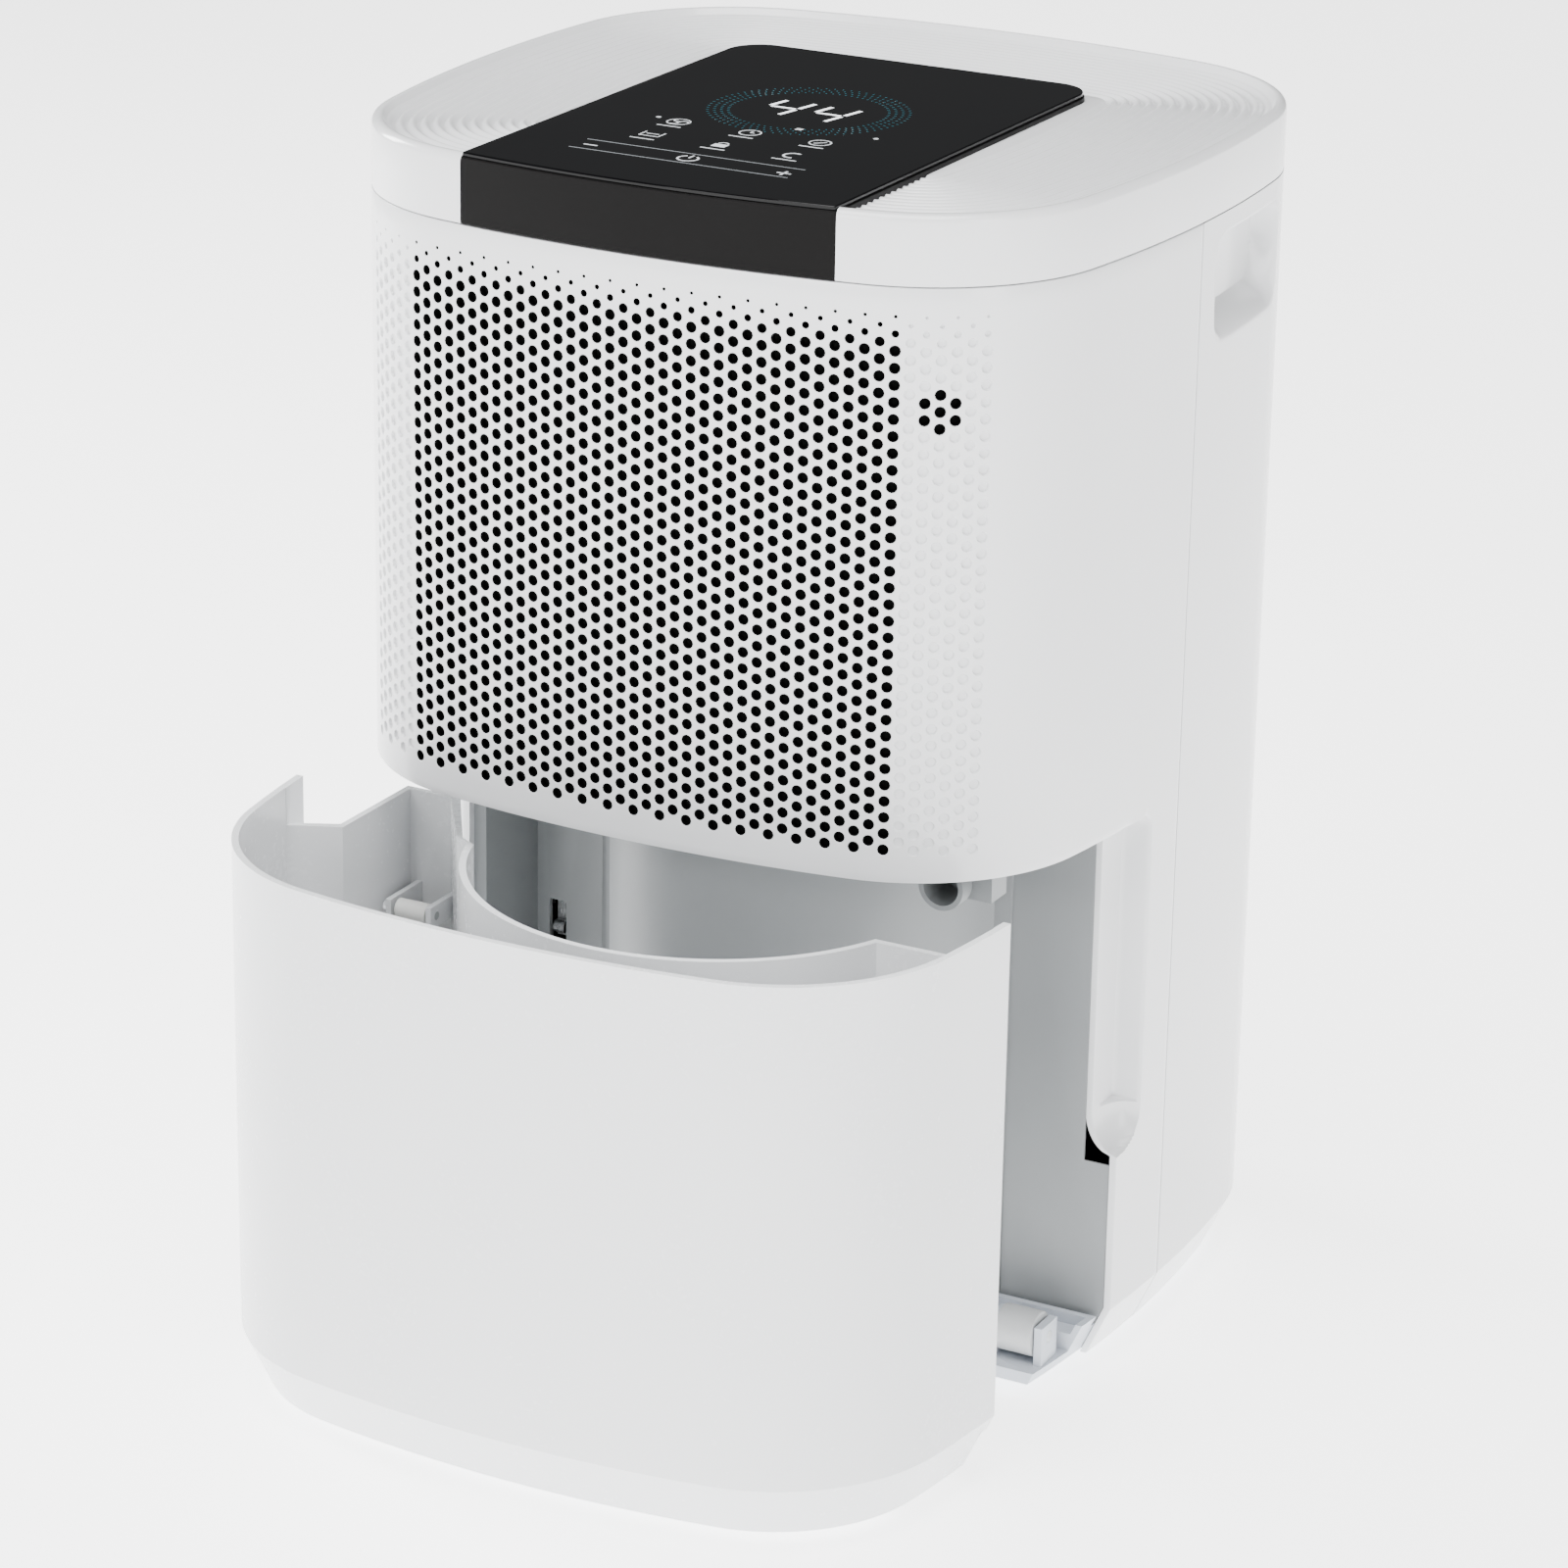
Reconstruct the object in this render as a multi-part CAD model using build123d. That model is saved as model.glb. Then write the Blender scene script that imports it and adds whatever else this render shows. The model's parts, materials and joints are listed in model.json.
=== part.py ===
from build123d import *
import math
import os

os.makedirs("parts", exist_ok=True)

# A free-standing compressor dehumidifier of the 12 litre a day class.
# Millimetres. +X is the user's right hand at the front, +Y goes to the back, +Z is up.
# The origin is on the floor, below the middle of the casing. The tank stands part-pulled.

# ---- driving dimensions -------------------------------------------------------------
WIDTH = 271.6
DEPTH = 263.4
WIDEST_Y = 9.4
FRONT_R = 465.0
FRONT_CORNER_R = 65.4
SIDE_R = 525.0
REAR_CORNER_R = 67.8
BACK_R = 427.0

BASE_Z = 4.0
SEAM_Z = 396.6
FIELD_Z = 417.0
RIM_Z = 419.5
PANEL_Z = 420.3
CASING_FOOT_Z = 200.0
CHAMFER_H = 19.0
CHAMFER_IN = 8.7

WALL = 2.6
GAP = 0.3
SEAM_Y = 0.0
OPENING_Y = -35.0

HOLE_PITCH = 5.5
COLUMN_PITCH = 4.85
HOLE_D = 3.76
HOLE_TOP_Z = 387.2
HOLE_COLUMNS = 18
FACET_COLUMNS = 24
GRADED_D = (1.1, 1.65, 2.4, 3.3)

TANK_OUT = 90.0
TANK_RIM_Z = 196.4
TANK_BACK_RIM_Z = 183.0
TANK_WALL = 2.4
TANK_STEP_Y = -72.0
TANK_STEP_Z = 27.0
BULGE = (12.0, -8.0)
BULGE_R = 79.0
TANK_CLEAR = 3.0
LEFT_BAY = (-118.0, 8.0)
RIGHT_BAY_Y = -36.0

PANEL_HALF = 67.25
PANEL_BACK_Y = 64.0
PANEL_CORNER_R = 13.0

FAN_Z = 302.0
IMPELLER_R = 60.0
IMPELLER_Y = (14.0, 44.0)
BLADES = 30

COIL_X = 84.0
COIL_Z = (218.0, 386.0)
TUBE_R = 3.5
EVAPORATOR_Y = 92.0
CONDENSER_Y = 66.0
FIN_STEP = 4.0
FIN_T = 0.4

COMPRESSOR_R = 48.0
COMPRESSOR_XY = (12.0, -2.0)

WINDOW_HALF = 88.0
WINDOW_Z = (206.0, 372.0)

ROLLER_R = 8.0
ROLLER_XY = (110.5, -56.0)
ROLLER_Z = 18.7
LEDGE_Z = 9.5
TRAY_TOP_Z = 16.0
TRAY_RIM_Z = 20.0
FLOAT_PIN = (-101.0, -14.0 - TANK_OUT, 146.0)
SCREW_PLACES = [(x, y) for x in (-98, 0, 98) for y in (42, 96)]
SPOUT_XY = (97.0, -92.0)
SPOUT_Z = 193.0
PLUG_XZ = (62.0, 138.0)
GLAND_XZ = (-66.0, 48.0)


# ---- plan outline -------------------------------------------------------------------
def meeting_point(c_a, r_a, c_b, r_b):
    """Right-hand crossing of two circles."""
    dx = c_b[0] - c_a[0]
    dy = c_b[1] - c_a[1]
    d = math.hypot(dx, dy)
    along = (r_a ** 2 - r_b ** 2 + d ** 2) / (2 * d)
    across = math.sqrt(r_a ** 2 - along ** 2)
    mid = (c_a[0] + along * dx / d, c_a[1] + along * dy / d)
    ends = [
        (mid[0] + across * dy / d, mid[1] - across * dx / d),
        (mid[0] - across * dy / d, mid[1] + across * dx / d),
    ]
    return max(ends)


def ray(center, through, length):
    """Point at a length from the centre towards another point."""
    d = math.dist(center, through)
    return tuple(c + length * (t - c) / d for c, t in zip(center, through))


FRONT_C = (0.0, -DEPTH / 2 + FRONT_R)
SIDE_C = (WIDTH / 2 - SIDE_R, WIDEST_Y)
BACK_C = (0.0, DEPTH / 2 - BACK_R)
FRONT_CORNER_C = meeting_point(
    FRONT_C, FRONT_R - FRONT_CORNER_R, SIDE_C, SIDE_R - FRONT_CORNER_R
)
REAR_CORNER_C = meeting_point(BACK_C, BACK_R - REAR_CORNER_R, SIDE_C, SIDE_R - REAR_CORNER_R)


def corner_middle(corner, r, first, second):
    """Middle point of a corner arc that joins two larger arcs."""
    a = ray(first, corner, 1.0)
    b = ray(second, corner, 1.0)
    direction = (a[0] - first[0] + b[0] - second[0], a[1] - first[1] + b[1] - second[1])
    length = math.hypot(*direction)
    return (corner[0] + r * direction[0] / length, corner[1] + r * direction[1] / length)


def right_side(inset):
    """Points of the right half, front to back: three on each arc, shared where arcs join."""
    t1 = ray(FRONT_C, FRONT_CORNER_C, FRONT_R - inset)
    t2 = ray(SIDE_C, FRONT_CORNER_C, SIDE_R - inset)
    t3 = ray(SIDE_C, REAR_CORNER_C, SIDE_R - inset)
    t4 = ray(BACK_C, REAR_CORNER_C, BACK_R - inset)
    m1 = corner_middle(FRONT_CORNER_C, FRONT_CORNER_R - inset, FRONT_C, SIDE_C)
    m2 = (WIDTH / 2 - inset, WIDEST_Y)
    m3 = corner_middle(REAR_CORNER_C, REAR_CORNER_R - inset, BACK_C, SIDE_C)
    return t1, m1, t2, m2, t3, m3, t4


def mirrored(point):
    """The same point on the other side."""
    return (-point[0], point[1])


def outline(inset=0.0):
    """Plan face of the casing with every wall moved inward."""
    t1, m1, t2, m2, t3, m3, t4 = right_side(inset)
    front = (0.0, -DEPTH / 2 + inset)
    back = (0.0, DEPTH / 2 - inset)
    arcs = [
        (mirrored(t1), front, t1),
        (t1, m1, t2),
        (t2, m2, t3),
        (t3, m3, t4),
        (t4, back, mirrored(t4)),
        (mirrored(t4), mirrored(m3), mirrored(t3)),
        (mirrored(t3), mirrored(m2), mirrored(t2)),
        (mirrored(t2), mirrored(m1), mirrored(t1)),
    ]
    return make_face([ThreePointArc(*arc) for arc in arcs])


FRONT_ANGLE = math.atan2(FRONT_CORNER_C[0], FRONT_C[1] - FRONT_CORNER_C[1])


def front_point(s, inset=0.0):
    """Point and outward angle on the front wall, s along it from the middle."""
    half = FRONT_R * FRONT_ANGLE
    side = math.copysign(1.0, s)
    if abs(s) <= half:
        angle = abs(s) / FRONT_R
        center = FRONT_C
        r = FRONT_R - inset
    else:
        angle = FRONT_ANGLE + (abs(s) - half) / FRONT_CORNER_R
        center = FRONT_CORNER_C
        r = FRONT_CORNER_R - inset
    x = center[0] + r * math.sin(angle)
    y = center[1] - r * math.cos(angle)
    return (side * x, y, side * math.degrees(angle))


def faceted_outline(inset=0.0):
    """The plan with a flat strip for each column of holes, so that each hole is round."""
    t2, m2, t3, m3, t4 = right_side(inset)[2:]
    edge = [(k + 0.5) * COLUMN_PITCH for k in range(-FACET_COLUMNS - 1, FACET_COLUMNS + 1)]
    facets = [front_point(s, inset)[:2] for s in edge]
    end = facets[-1]
    turn = FRONT_ANGLE + (edge[-1] - FRONT_R * FRONT_ANGLE) / FRONT_CORNER_R
    side_turn = math.atan2(FRONT_CORNER_C[0] - SIDE_C[0], SIDE_C[1] - FRONT_CORNER_C[1])
    middle = (turn + side_turn) / 2
    r = FRONT_CORNER_R - inset
    bend = (
        FRONT_CORNER_C[0] + r * math.sin(middle),
        FRONT_CORNER_C[1] - r * math.cos(middle),
    )
    back = (0.0, DEPTH / 2 - inset)
    arcs = [
        (end, bend, t2),
        (t2, m2, t3),
        (t3, m3, t4),
        (t4, back, mirrored(t4)),
        (mirrored(t4), mirrored(m3), mirrored(t3)),
        (mirrored(t3), mirrored(m2), mirrored(t2)),
        (mirrored(t2), mirrored(bend), mirrored(end)),
    ]
    edges = [Line(a, b) for a, b in zip(facets, facets[1:])]
    edges += [ThreePointArc(*arc) for arc in arcs]
    return make_face(edges)


# ---- small builders -----------------------------------------------------------------
def block(x, y, z):
    """Box from its limits on each axis."""
    size = (x[1] - x[0], y[1] - y[0], z[1] - z[0])
    center = ((x[0] + x[1]) / 2, (y[0] + y[1]) / 2, (z[0] + z[1]) / 2)
    return Pos(*center) * Box(*size)


def slab(face, z):
    """Face extruded between two heights."""
    return extrude(Pos(0, 0, z[0]) * face, z[1] - z[0], dir=(0, 0, 1))


def prism(inset, z):
    """Solid of the plan outline between two heights."""
    return slab(outline(inset), z)


def envelope(inset, z):
    """Like prism, but with the slanted foot of the casing."""
    foot_z = BASE_Z + CHAMFER_H
    low = Pos(0, 0, BASE_Z) * outline(inset + CHAMFER_IN)
    high = Pos(0, 0, foot_z) * outline(inset)
    foot = loft([low, high], ruled=True)
    body = foot + prism(inset, (foot_z, z[1]))
    return body & block((-200, 200), (-200, 200), z)


def post(x, y, r, z):
    """Upright cylinder."""
    return Pos(x, y, z[0]) * Cylinder(r, z[1] - z[0], align=(Align.CENTER, Align.CENTER, Align.MIN))


def barrel(x, z, r, y):
    """Cylinder along Y."""
    return Pos(x, (y[0] + y[1]) / 2, z) * Rot(90, 0, 0) * Cylinder(r, y[1] - y[0])


def axle(y, z, r, x):
    """Cylinder along X."""
    return Pos((x[0] + x[1]) / 2, y, z) * Rot(0, 90, 0) * Cylinder(r, x[1] - x[0])


def screws(places, head_r, shank_r, head_h, length, turn=None):
    """Pan-head screws with a cross recess, heads up unless turned."""
    one = post(0, 0, head_r, (0, head_h)) + post(0, 0, shank_r, (-length, 0))
    slot = 0.5
    depth = head_h * 0.5
    arm = head_r * 0.6
    one -= block((-arm, arm), (-slot, slot), (head_h - depth, head_h + 1))
    one -= block((-slot, slot), (-arm, arm), (head_h - depth, head_h + 1))
    turned = (turn or Rot(0, 0, 0)) * one
    return Compound([Pos(*place) * turned for place in places])


def pipe(points, r, bends):
    """Solid round pipe along straight runs with rounded corners."""
    path = FilletPolyline(*points, radius=bends)
    start = Vector(*points[0])
    heading = Vector(*points[1]) - start
    section = Plane(origin=start, z_dir=heading) * Circle(r)
    return sweep(section, path=path)


# ---- casing -------------------------------------------------------------------------
def grille_cutters():
    """One cutter for each open hole, staggered by half a pitch, smaller at the top rows."""
    cutters = []
    for column in range(-HOLE_COLUMNS, HOLE_COLUMNS + 1):
        x, y, angle = front_point(column * COLUMN_PITCH)
        offset = 0.0 if column % 2 == 0 else 0.5
        count = 33 if column % 2 == 0 else 32
        for row in range(count):
            step = row + offset
            grade = int(round(2 * step))
            d = GRADED_D[grade] if grade < len(GRADED_D) else HOLE_D
            place = Pos(x, y, HOLE_TOP_Z - step * HOLE_PITCH) * Rot(0, 0, angle) * Rot(90, 0, 0)
            cutters.append(place * Cylinder(d / 2, 4 * WALL))
    return cutters


def sensor_cutters():
    """Seven small air holes in front of the humidity sensor."""
    cutters = []
    for column, rows in ((20, (5.5, 6.5)), (21, (5.0, 6.0, 7.0)), (22, (5.5, 6.5))):
        x, y, angle = front_point(column * COLUMN_PITCH)
        for row in rows:
            place = Pos(x, y, HOLE_TOP_Z - (row - 0.5) * HOLE_PITCH)
            cutters.append(place * Rot(0, 0, angle) * Rot(90, 0, 0) * Cylinder(HOLE_D / 2, 4 * WALL))
    return cutters


RECESS_Y = (OPENING_Y, -19.0)
RECESS_Z = (80.0, CASING_FOOT_Z)
RECESS_DEPTH = 10.0
RECESS_T = 2.0


def finger_recess_walls():
    """Inner walls of the two finger recesses beside the tank."""
    y0, y1 = RECESS_Y
    z0, z1 = RECESS_Z
    t = RECESS_T
    ring = prism(RECESS_DEPTH, (z0 - t, z1 + t)) - prism(RECESS_DEPTH + t, (z0 - t, z1 + t))
    deep = prism(0.2, (z0 - t, z1 + t)) - prism(RECESS_DEPTH + t, (z0 - t, z1 + t))
    far = (-200, 200)
    walls = ring & block(far, (y0, y1 + t), (z0 - t, z1 + t))
    walls += deep & block(far, (y1, y1 + t), (z0 - t, z1 + t))
    walls += deep & block(far, (y0, y1 + t), (z0 - t, z0))
    walls += deep & block(far, (y0, y1 + t), (z1, z1 + t))
    return walls


def front_casing():
    """Front shell: perforated front, side walls down to the base, tank opening."""
    top = SEAM_Z - GAP / 2
    far = (-200, 200)
    upper = slab(faceted_outline(0), (CASING_FOOT_Z, top))
    upper -= slab(faceted_outline(WALL), (CASING_FOOT_Z - 1, top + 1))
    upper -= grille_cutters()
    upper -= sensor_cutters()
    upper &= block(far, (-200, SEAM_Y - GAP / 2), (0, 500))
    lower = envelope(0, (BASE_Z, CASING_FOOT_Z)) - envelope(WALL, (BASE_Z - 1, CASING_FOOT_Z + 1))
    lower &= block(far, (OPENING_Y, SEAM_Y - GAP / 2), (0, 500))
    lower -= block(far, (OPENING_Y - 1, RECESS_Y[1]), RECESS_Z)
    return upper + lower + finger_recess_walls()


SCOOP_Y = (11.0, 72.0)
SCOOP_Z = (352.0, 390.0)
SCOOP_DEPTH = 9.0
SCOOP_T = 2.0


def handle_scoops():
    """Inner walls of the two lifting scoops under the top cover."""
    y0, y1 = SCOOP_Y
    z0, z1 = SCOOP_Z
    t = SCOOP_T
    box = block((-200, 200), (y0 - t, y1 + t), (z0 - t, z1 + t))
    hollow = block((-200, 200), (y0, y1), (z0, z1))
    band = prism(0.2, (z0 - t, z1 + t)) - prism(SCOOP_DEPTH + t, (z0 - t, z1 + t))
    room = prism(-1, (z0, z1)) - prism(SCOOP_DEPTH, (z0, z1))
    return (band & box) - (room & hollow)


def rear_casing():
    """Rear shell with the air intake window, the lifting scoops, drain and cord holes."""
    top = SEAM_Z - GAP / 2
    far = (-200, 200)
    shell = envelope(0, (BASE_Z, top)) - envelope(WALL, (BASE_Z - 1, top + 1))
    shell &= block(far, (SEAM_Y + GAP / 2, 200), (0, 500))
    window = block((-WINDOW_HALF, WINDOW_HALF), (100, 140), WINDOW_Z)
    shell -= window
    mouth = block(far, SCOOP_Y, SCOOP_Z) & (prism(-1, SCOOP_Z) - prism(WALL + 1, SCOOP_Z))
    shell -= mouth
    shell += handle_scoops()
    shell -= barrel(PLUG_XZ[0], PLUG_XZ[1], 8.3, (100, 140))
    shell -= barrel(GLAND_XZ[0], GLAND_XZ[1], 7.3, (100, 140))
    return shell


RIPPLE_FIRST = 7.0
RIPPLE_STEP = 4.0
RIPPLES = 14
RIPPLE_W = 1.6
RIPPLE_DEPTH = 0.6
FASCIA_T = 2.8
PLATE_Z = 416.0


def panel_plan(grow, front_inset):
    """Plan of the control panel: straight sides, rounded rear corners, casing-shaped front."""
    half = PANEL_HALF + grow
    back = PANEL_BACK_Y + grow
    long = block((-half, half), (-160, back - PANEL_CORNER_R), (0, 1))
    wide_half = half - PANEL_CORNER_R
    wide = block((-wide_half, wide_half), (-160, back), (0, 1))
    y = back - PANEL_CORNER_R
    corners = [post(side * wide_half, y, PANEL_CORNER_R, (0, 1)) for side in (-1, 1)]
    whole = (long + wide + corners[0] + corners[1]) & prism(front_inset, (0, 1))
    return whole.faces().sort_by(Axis.Z)[0]


def top_cover():
    """Lid with a skirt, a raised rim, concentric ripples and a seat for the panel."""
    low = SEAM_Z + GAP / 2
    cover = prism(0, (low, RIM_Z)) - prism(WALL, (low - 1, FIELD_Z - WALL))
    cover -= prism(4.5, (FIELD_Z, RIM_Z + 1))
    for k in range(RIPPLES):
        inset = RIPPLE_FIRST + k * RIPPLE_STEP
        groove_z = (FIELD_Z - RIPPLE_DEPTH, FIELD_Z + 1)
        cover -= prism(inset, groove_z) - prism(inset + RIPPLE_W, groove_z)
    cover -= slab(panel_plan(GAP / 2, -1), (PLATE_Z - GAP / 2, RIM_Z + 1))
    fascia = block((-PANEL_HALF - 0.15, PANEL_HALF + 0.15), (-160, -100), (0, 500))
    band = prism(-1, (low - 1, RIM_Z + 1)) - prism(FASCIA_T + GAP / 2, (low - 1, RIM_Z + 1))
    return cover - (fascia & band)


def panel_body():
    """Dark moulding of the control panel: a plate with a fascia down the front."""
    low = SEAM_Z + GAP / 2
    glass_z = PANEL_Z - 1.5
    plate = slab(panel_plan(0, 0), (PLATE_Z, glass_z))
    fascia = block((-PANEL_HALF, PANEL_HALF), (-160, -100), (low, PLATE_Z))
    fascia &= prism(0, (low, PLATE_Z)) - prism(FASCIA_T, (low - 1, PLATE_Z + 1))
    return plate + fascia


def panel_glass():
    """Gloss touch plate on top of the panel."""
    return slab(panel_plan(-0.4, 0.4), (PANEL_Z - 1.5, PANEL_Z))


# ---- electronics --------------------------------------------------------------------
def touch_board():
    """Circuit board under the panel, with its touch springs and chips."""
    board = block((-52, 52), (-108, 16), (404, 405.6))
    for x in (-36, 0, 36):
        board += post(x, -97, 3.5, (405.6, 412))
    for x in (-28, 0, 26):
        for y in (-58, -77):
            board += post(x, y, 3.5, (405.6, 412))
    for x in (-40, 40):
        board += block((x - 5, x + 5), (-20, -8), (401.5, 404))
    return board


def digit_display():
    """Two-digit display block on the touch board."""
    return block((-18, 18), (-34, -4), (405.6, 413.4))


def board_posts():
    """Posts that hang the touch board from the lid."""
    posts = [post(x, y, 3.0, (405.7, 414.3)) for x in (-47, 47) for y in (-103, 11)]
    return Compound(posts)


def control_board():
    """Power board with relay, transformer and terminals."""
    board = block((-112.6, -111), (18, 88), (232, 322))
    board += block((-111, -102), (24, 44), (240, 258))
    board += block((-111, -100), (50, 76), (236, 262))
    board += block((-111, -99), (26, 52), (276, 302))
    board += block((-111, -103), (62, 82), (282, 310))
    return board


def board_tray():
    """Plastic carrier of the power board."""
    tray = block((-117, -115), (14, 92), (226, 328))
    for y in (24, 82):
        for z in (236, 318):
            tray += axle(y, z, 3.0, (-115, -112.7))
    return tray


def run_capacitor():
    """Motor run capacitor beside the compressor."""
    return post(-66, 62, 15, (44, 98)) + post(-66, 62, 4, (98, 104))


def humidity_sensor():
    """Small sensor board behind its air holes."""
    x, y, angle = front_point(21 * COLUMN_PITCH, WALL + 4.0)
    here = Pos(x, y, HOLE_TOP_Z - 5.5 * HOLE_PITCH) * Rot(0, 0, angle)
    board = here * Box(18, 1.6, 26)
    chip = here * Pos(0, -1.6, 0) * Box(8, 1.6, 8)
    return board + chip


def sensor_holder():
    """Bracket that carries the humidity sensor on the front wall."""
    x, y, angle = front_point(21 * COLUMN_PITCH, WALL + 4.0)
    here = Pos(x, y, HOLE_TOP_Z - 5.5 * HOLE_PITCH) * Rot(0, 0, angle)
    back = here * Pos(0, 2.1, 0) * Box(22, 2, 30)
    return back


# ---- refrigeration ------------------------------------------------------------------
ROWS = 6
TUBE_PITCH = (COIL_Z[1] - COIL_Z[0]) / (2 * ROWS)


def tube_heights():
    """Heights of the straight tubes of a coil, bottom to top."""
    return [COIL_Z[0] + TUBE_PITCH * (k + 0.5) for k in range(2 * ROWS)]


def coil_fins(y, depth):
    """Stack of thin fins with a clearance hole for each tube."""
    plate = Rectangle(depth, COIL_Z[1] - COIL_Z[0])
    middle = (COIL_Z[0] + COIL_Z[1]) / 2
    for z in tube_heights():
        plate -= Pos(0, z - middle) * Circle(TUBE_R + 0.05)
    fin = extrude(Plane(origin=(0, y, middle), x_dir=(0, 1, 0), z_dir=(1, 0, 0)) * plate, FIN_T)
    count = int(2 * COIL_X / FIN_STEP)
    return Compound([Pos(-COIL_X + k * FIN_STEP + 2, 0, 0) * fin for k in range(count)])


def coil_tube(y):
    """One serpentine tube: straight runs joined by half-circle bends."""
    heights = tube_heights()
    end = COIL_X + 3
    bend_r = TUBE_PITCH / 2
    solid = None
    for k, z in enumerate(heights):
        run = axle(y, z, TUBE_R, (-end, end))
        solid = run if solid is None else solid + run
        if k + 1 < len(heights):
            side = 1 if k % 2 == 0 else -1
            ring = Torus(bend_r, TUBE_R) & block((0, 100), (-100, 100), (-100, 100))
            turned = Rot(90, 0, 0) * ring
            if side < 0:
                turned = Rot(0, 0, 180) * turned
            solid += Pos(side * end, y, z + bend_r) * turned
    return solid


def coil_frame(y, depth):
    """Two end plates that hold a coil, with clearance holes for the tubes."""
    plates = []
    for side in (-1, 1):
        plate = block((0, 1.0), (y - depth / 2 - 1, y + depth / 2 + 1), (COIL_Z[0] - 3, COIL_Z[1] + 3))
        for z in tube_heights():
            plate -= axle(y, z, TUBE_R + 0.05, (-1, 2))
        plates.append(Pos(side * (COIL_X + 1.2) - 0.5, 0, 0) * plate)
    return Compound(plates)


def compressor():
    """Hermetic compressor shell with a seam flange and a three-lobed foot."""
    x, y = COMPRESSOR_XY
    low, high, low_bend, high_bend = 40.0, 154.0, 14.0, 20.0
    half_section = [
        Line((0, low), (COMPRESSOR_R - low_bend, low)),
        RadiusArc((COMPRESSOR_R - low_bend, low), (COMPRESSOR_R, low + low_bend), -low_bend),
        Line((COMPRESSOR_R, low + low_bend), (COMPRESSOR_R, high - high_bend)),
        RadiusArc((COMPRESSOR_R, high - high_bend), (COMPRESSOR_R - high_bend, high), -high_bend),
        Line((COMPRESSOR_R - high_bend, high), (0, high + 4)),
        Line((0, high + 4), (0, low)),
    ]
    section = Plane.XZ * make_face(half_section)
    shell = Pos(x, y, 0) * revolve(section, Axis.Z)
    shell += post(x, y, COMPRESSOR_R + 3, (128, 131))
    foot = post(x, y, 30, (36, 40))
    for k in range(3):
        angle = math.radians(90 + 120 * k)
        cx = x + 56 * math.cos(angle)
        cy = y + 56 * math.sin(angle)
        arm = Pos((x + cx) / 2, (y + cy) / 2, 38) * Rot(0, 0, math.degrees(angle)) * Box(62, 22, 4)
        foot += arm
        foot -= post(cx, cy, 5.2, (30, 50))
    return shell + foot


def foot_places():
    """The three mounting points of the compressor."""
    x, y = COMPRESSOR_XY
    angles = [math.radians(90 + 120 * k) for k in range(3)]
    return [(x + 56 * math.cos(a), y + 56 * math.sin(a)) for a in angles]


def compressor_grommets():
    """Rubber mounts with a waist that holds the compressor's foot."""
    rings = []
    for x, y in foot_places():
        ring = post(x, y, 9, (22, 36)) + post(x, y, 5, (36, 40)) + post(x, y, 8, (40, 43))
        rings.append(ring - post(x, y, 3.1, (20, 50)))
    return Compound(rings)


def compressor_bolts():
    """Shoulder bolts through the rubber mounts."""
    bolts = [post(x, y, 3.0, (12, 43)) + post(x, y, 6.5, (43, 47)) for x, y in foot_places()]
    return Compound(bolts)


def accumulator():
    """Suction accumulator strapped to the compressor's side."""
    return post(78, 34, 15, (60, 134)) + post(78, 34, 9, (134, 142)) + post(78, 34, 9, (52, 60))


def terminal_cover():
    """Cover over the compressor's terminals and overload switch."""
    x, y = COMPRESSOR_XY
    return block((x - 64, x - COMPRESSOR_R - 3.5), (y - 4, y + 26), (74, 112))


def suction_pipe():
    """Copper pipe from the evaporator down to the accumulator."""
    points = [(104, EVAPORATOR_Y, 225), (104, EVAPORATOR_Y, 200), (104, 34, 172), (78, 34, 160),
              (78, 34, 142)]
    return pipe(points, TUBE_R, [9, 9, 9])


def discharge_pipe():
    """Copper pipe from the compressor's top to the condenser."""
    points = [(12, 10, 158), (12, 10, 180), (-40, 40, 186), (-100, CONDENSER_Y, 196),
              (-100, CONDENSER_Y, 225)]
    return pipe(points, 3.0, [9, 9, 9])


def capillary():
    """Thin tube from the condenser to the evaporator."""
    points = [(100, CONDENSER_Y, 380), (110, CONDENSER_Y, 380), (110, EVAPORATOR_Y, 380),
              (100, EVAPORATOR_Y, 380)]
    return pipe(points, 1.2, [4, 4])


# ---- fan ----------------------------------------------------------------------------
SCROLL_Y = (8.0, 50.0)
SCROLL_T = 2.0


def fan_scroll():
    """Volute housing with a round inlet at the back and an outlet window at the front."""
    y0, y1 = SCROLL_Y
    outer = barrel(0, FAN_Z, IMPELLER_R + 22, (y0, y1))
    inner = barrel(0, FAN_Z, IMPELLER_R + 20, (y0 + SCROLL_T, y1 - SCROLL_T))
    neck = block((8, IMPELLER_R + 22), (y0, y1), (FAN_Z, FAN_Z + 86))
    neck_in = block((10, IMPELLER_R + 20), (y0 + SCROLL_T, y1 - SCROLL_T), (FAN_Z, FAN_Z + 84))
    housing = (outer + neck) - inner - neck_in
    housing -= barrel(0, FAN_Z, 46, (y1 - 5, y1 + 1))
    housing -= block((12, IMPELLER_R + 18), (y0 - 1, y0 + 5), (FAN_Z + 66, FAN_Z + 82))
    housing -= barrel(0, FAN_Z, 27.5, (y0 - 1, y0 + 5))
    for k in range(3):
        hole = Pos(54, 0, 0) * Rot(90, 0, 0) * Cylinder(1.5, 10)
        housing -= Pos(0, y0, FAN_Z) * Rot(0, 90 + 120 * k, 0) * hole
    return housing


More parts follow.
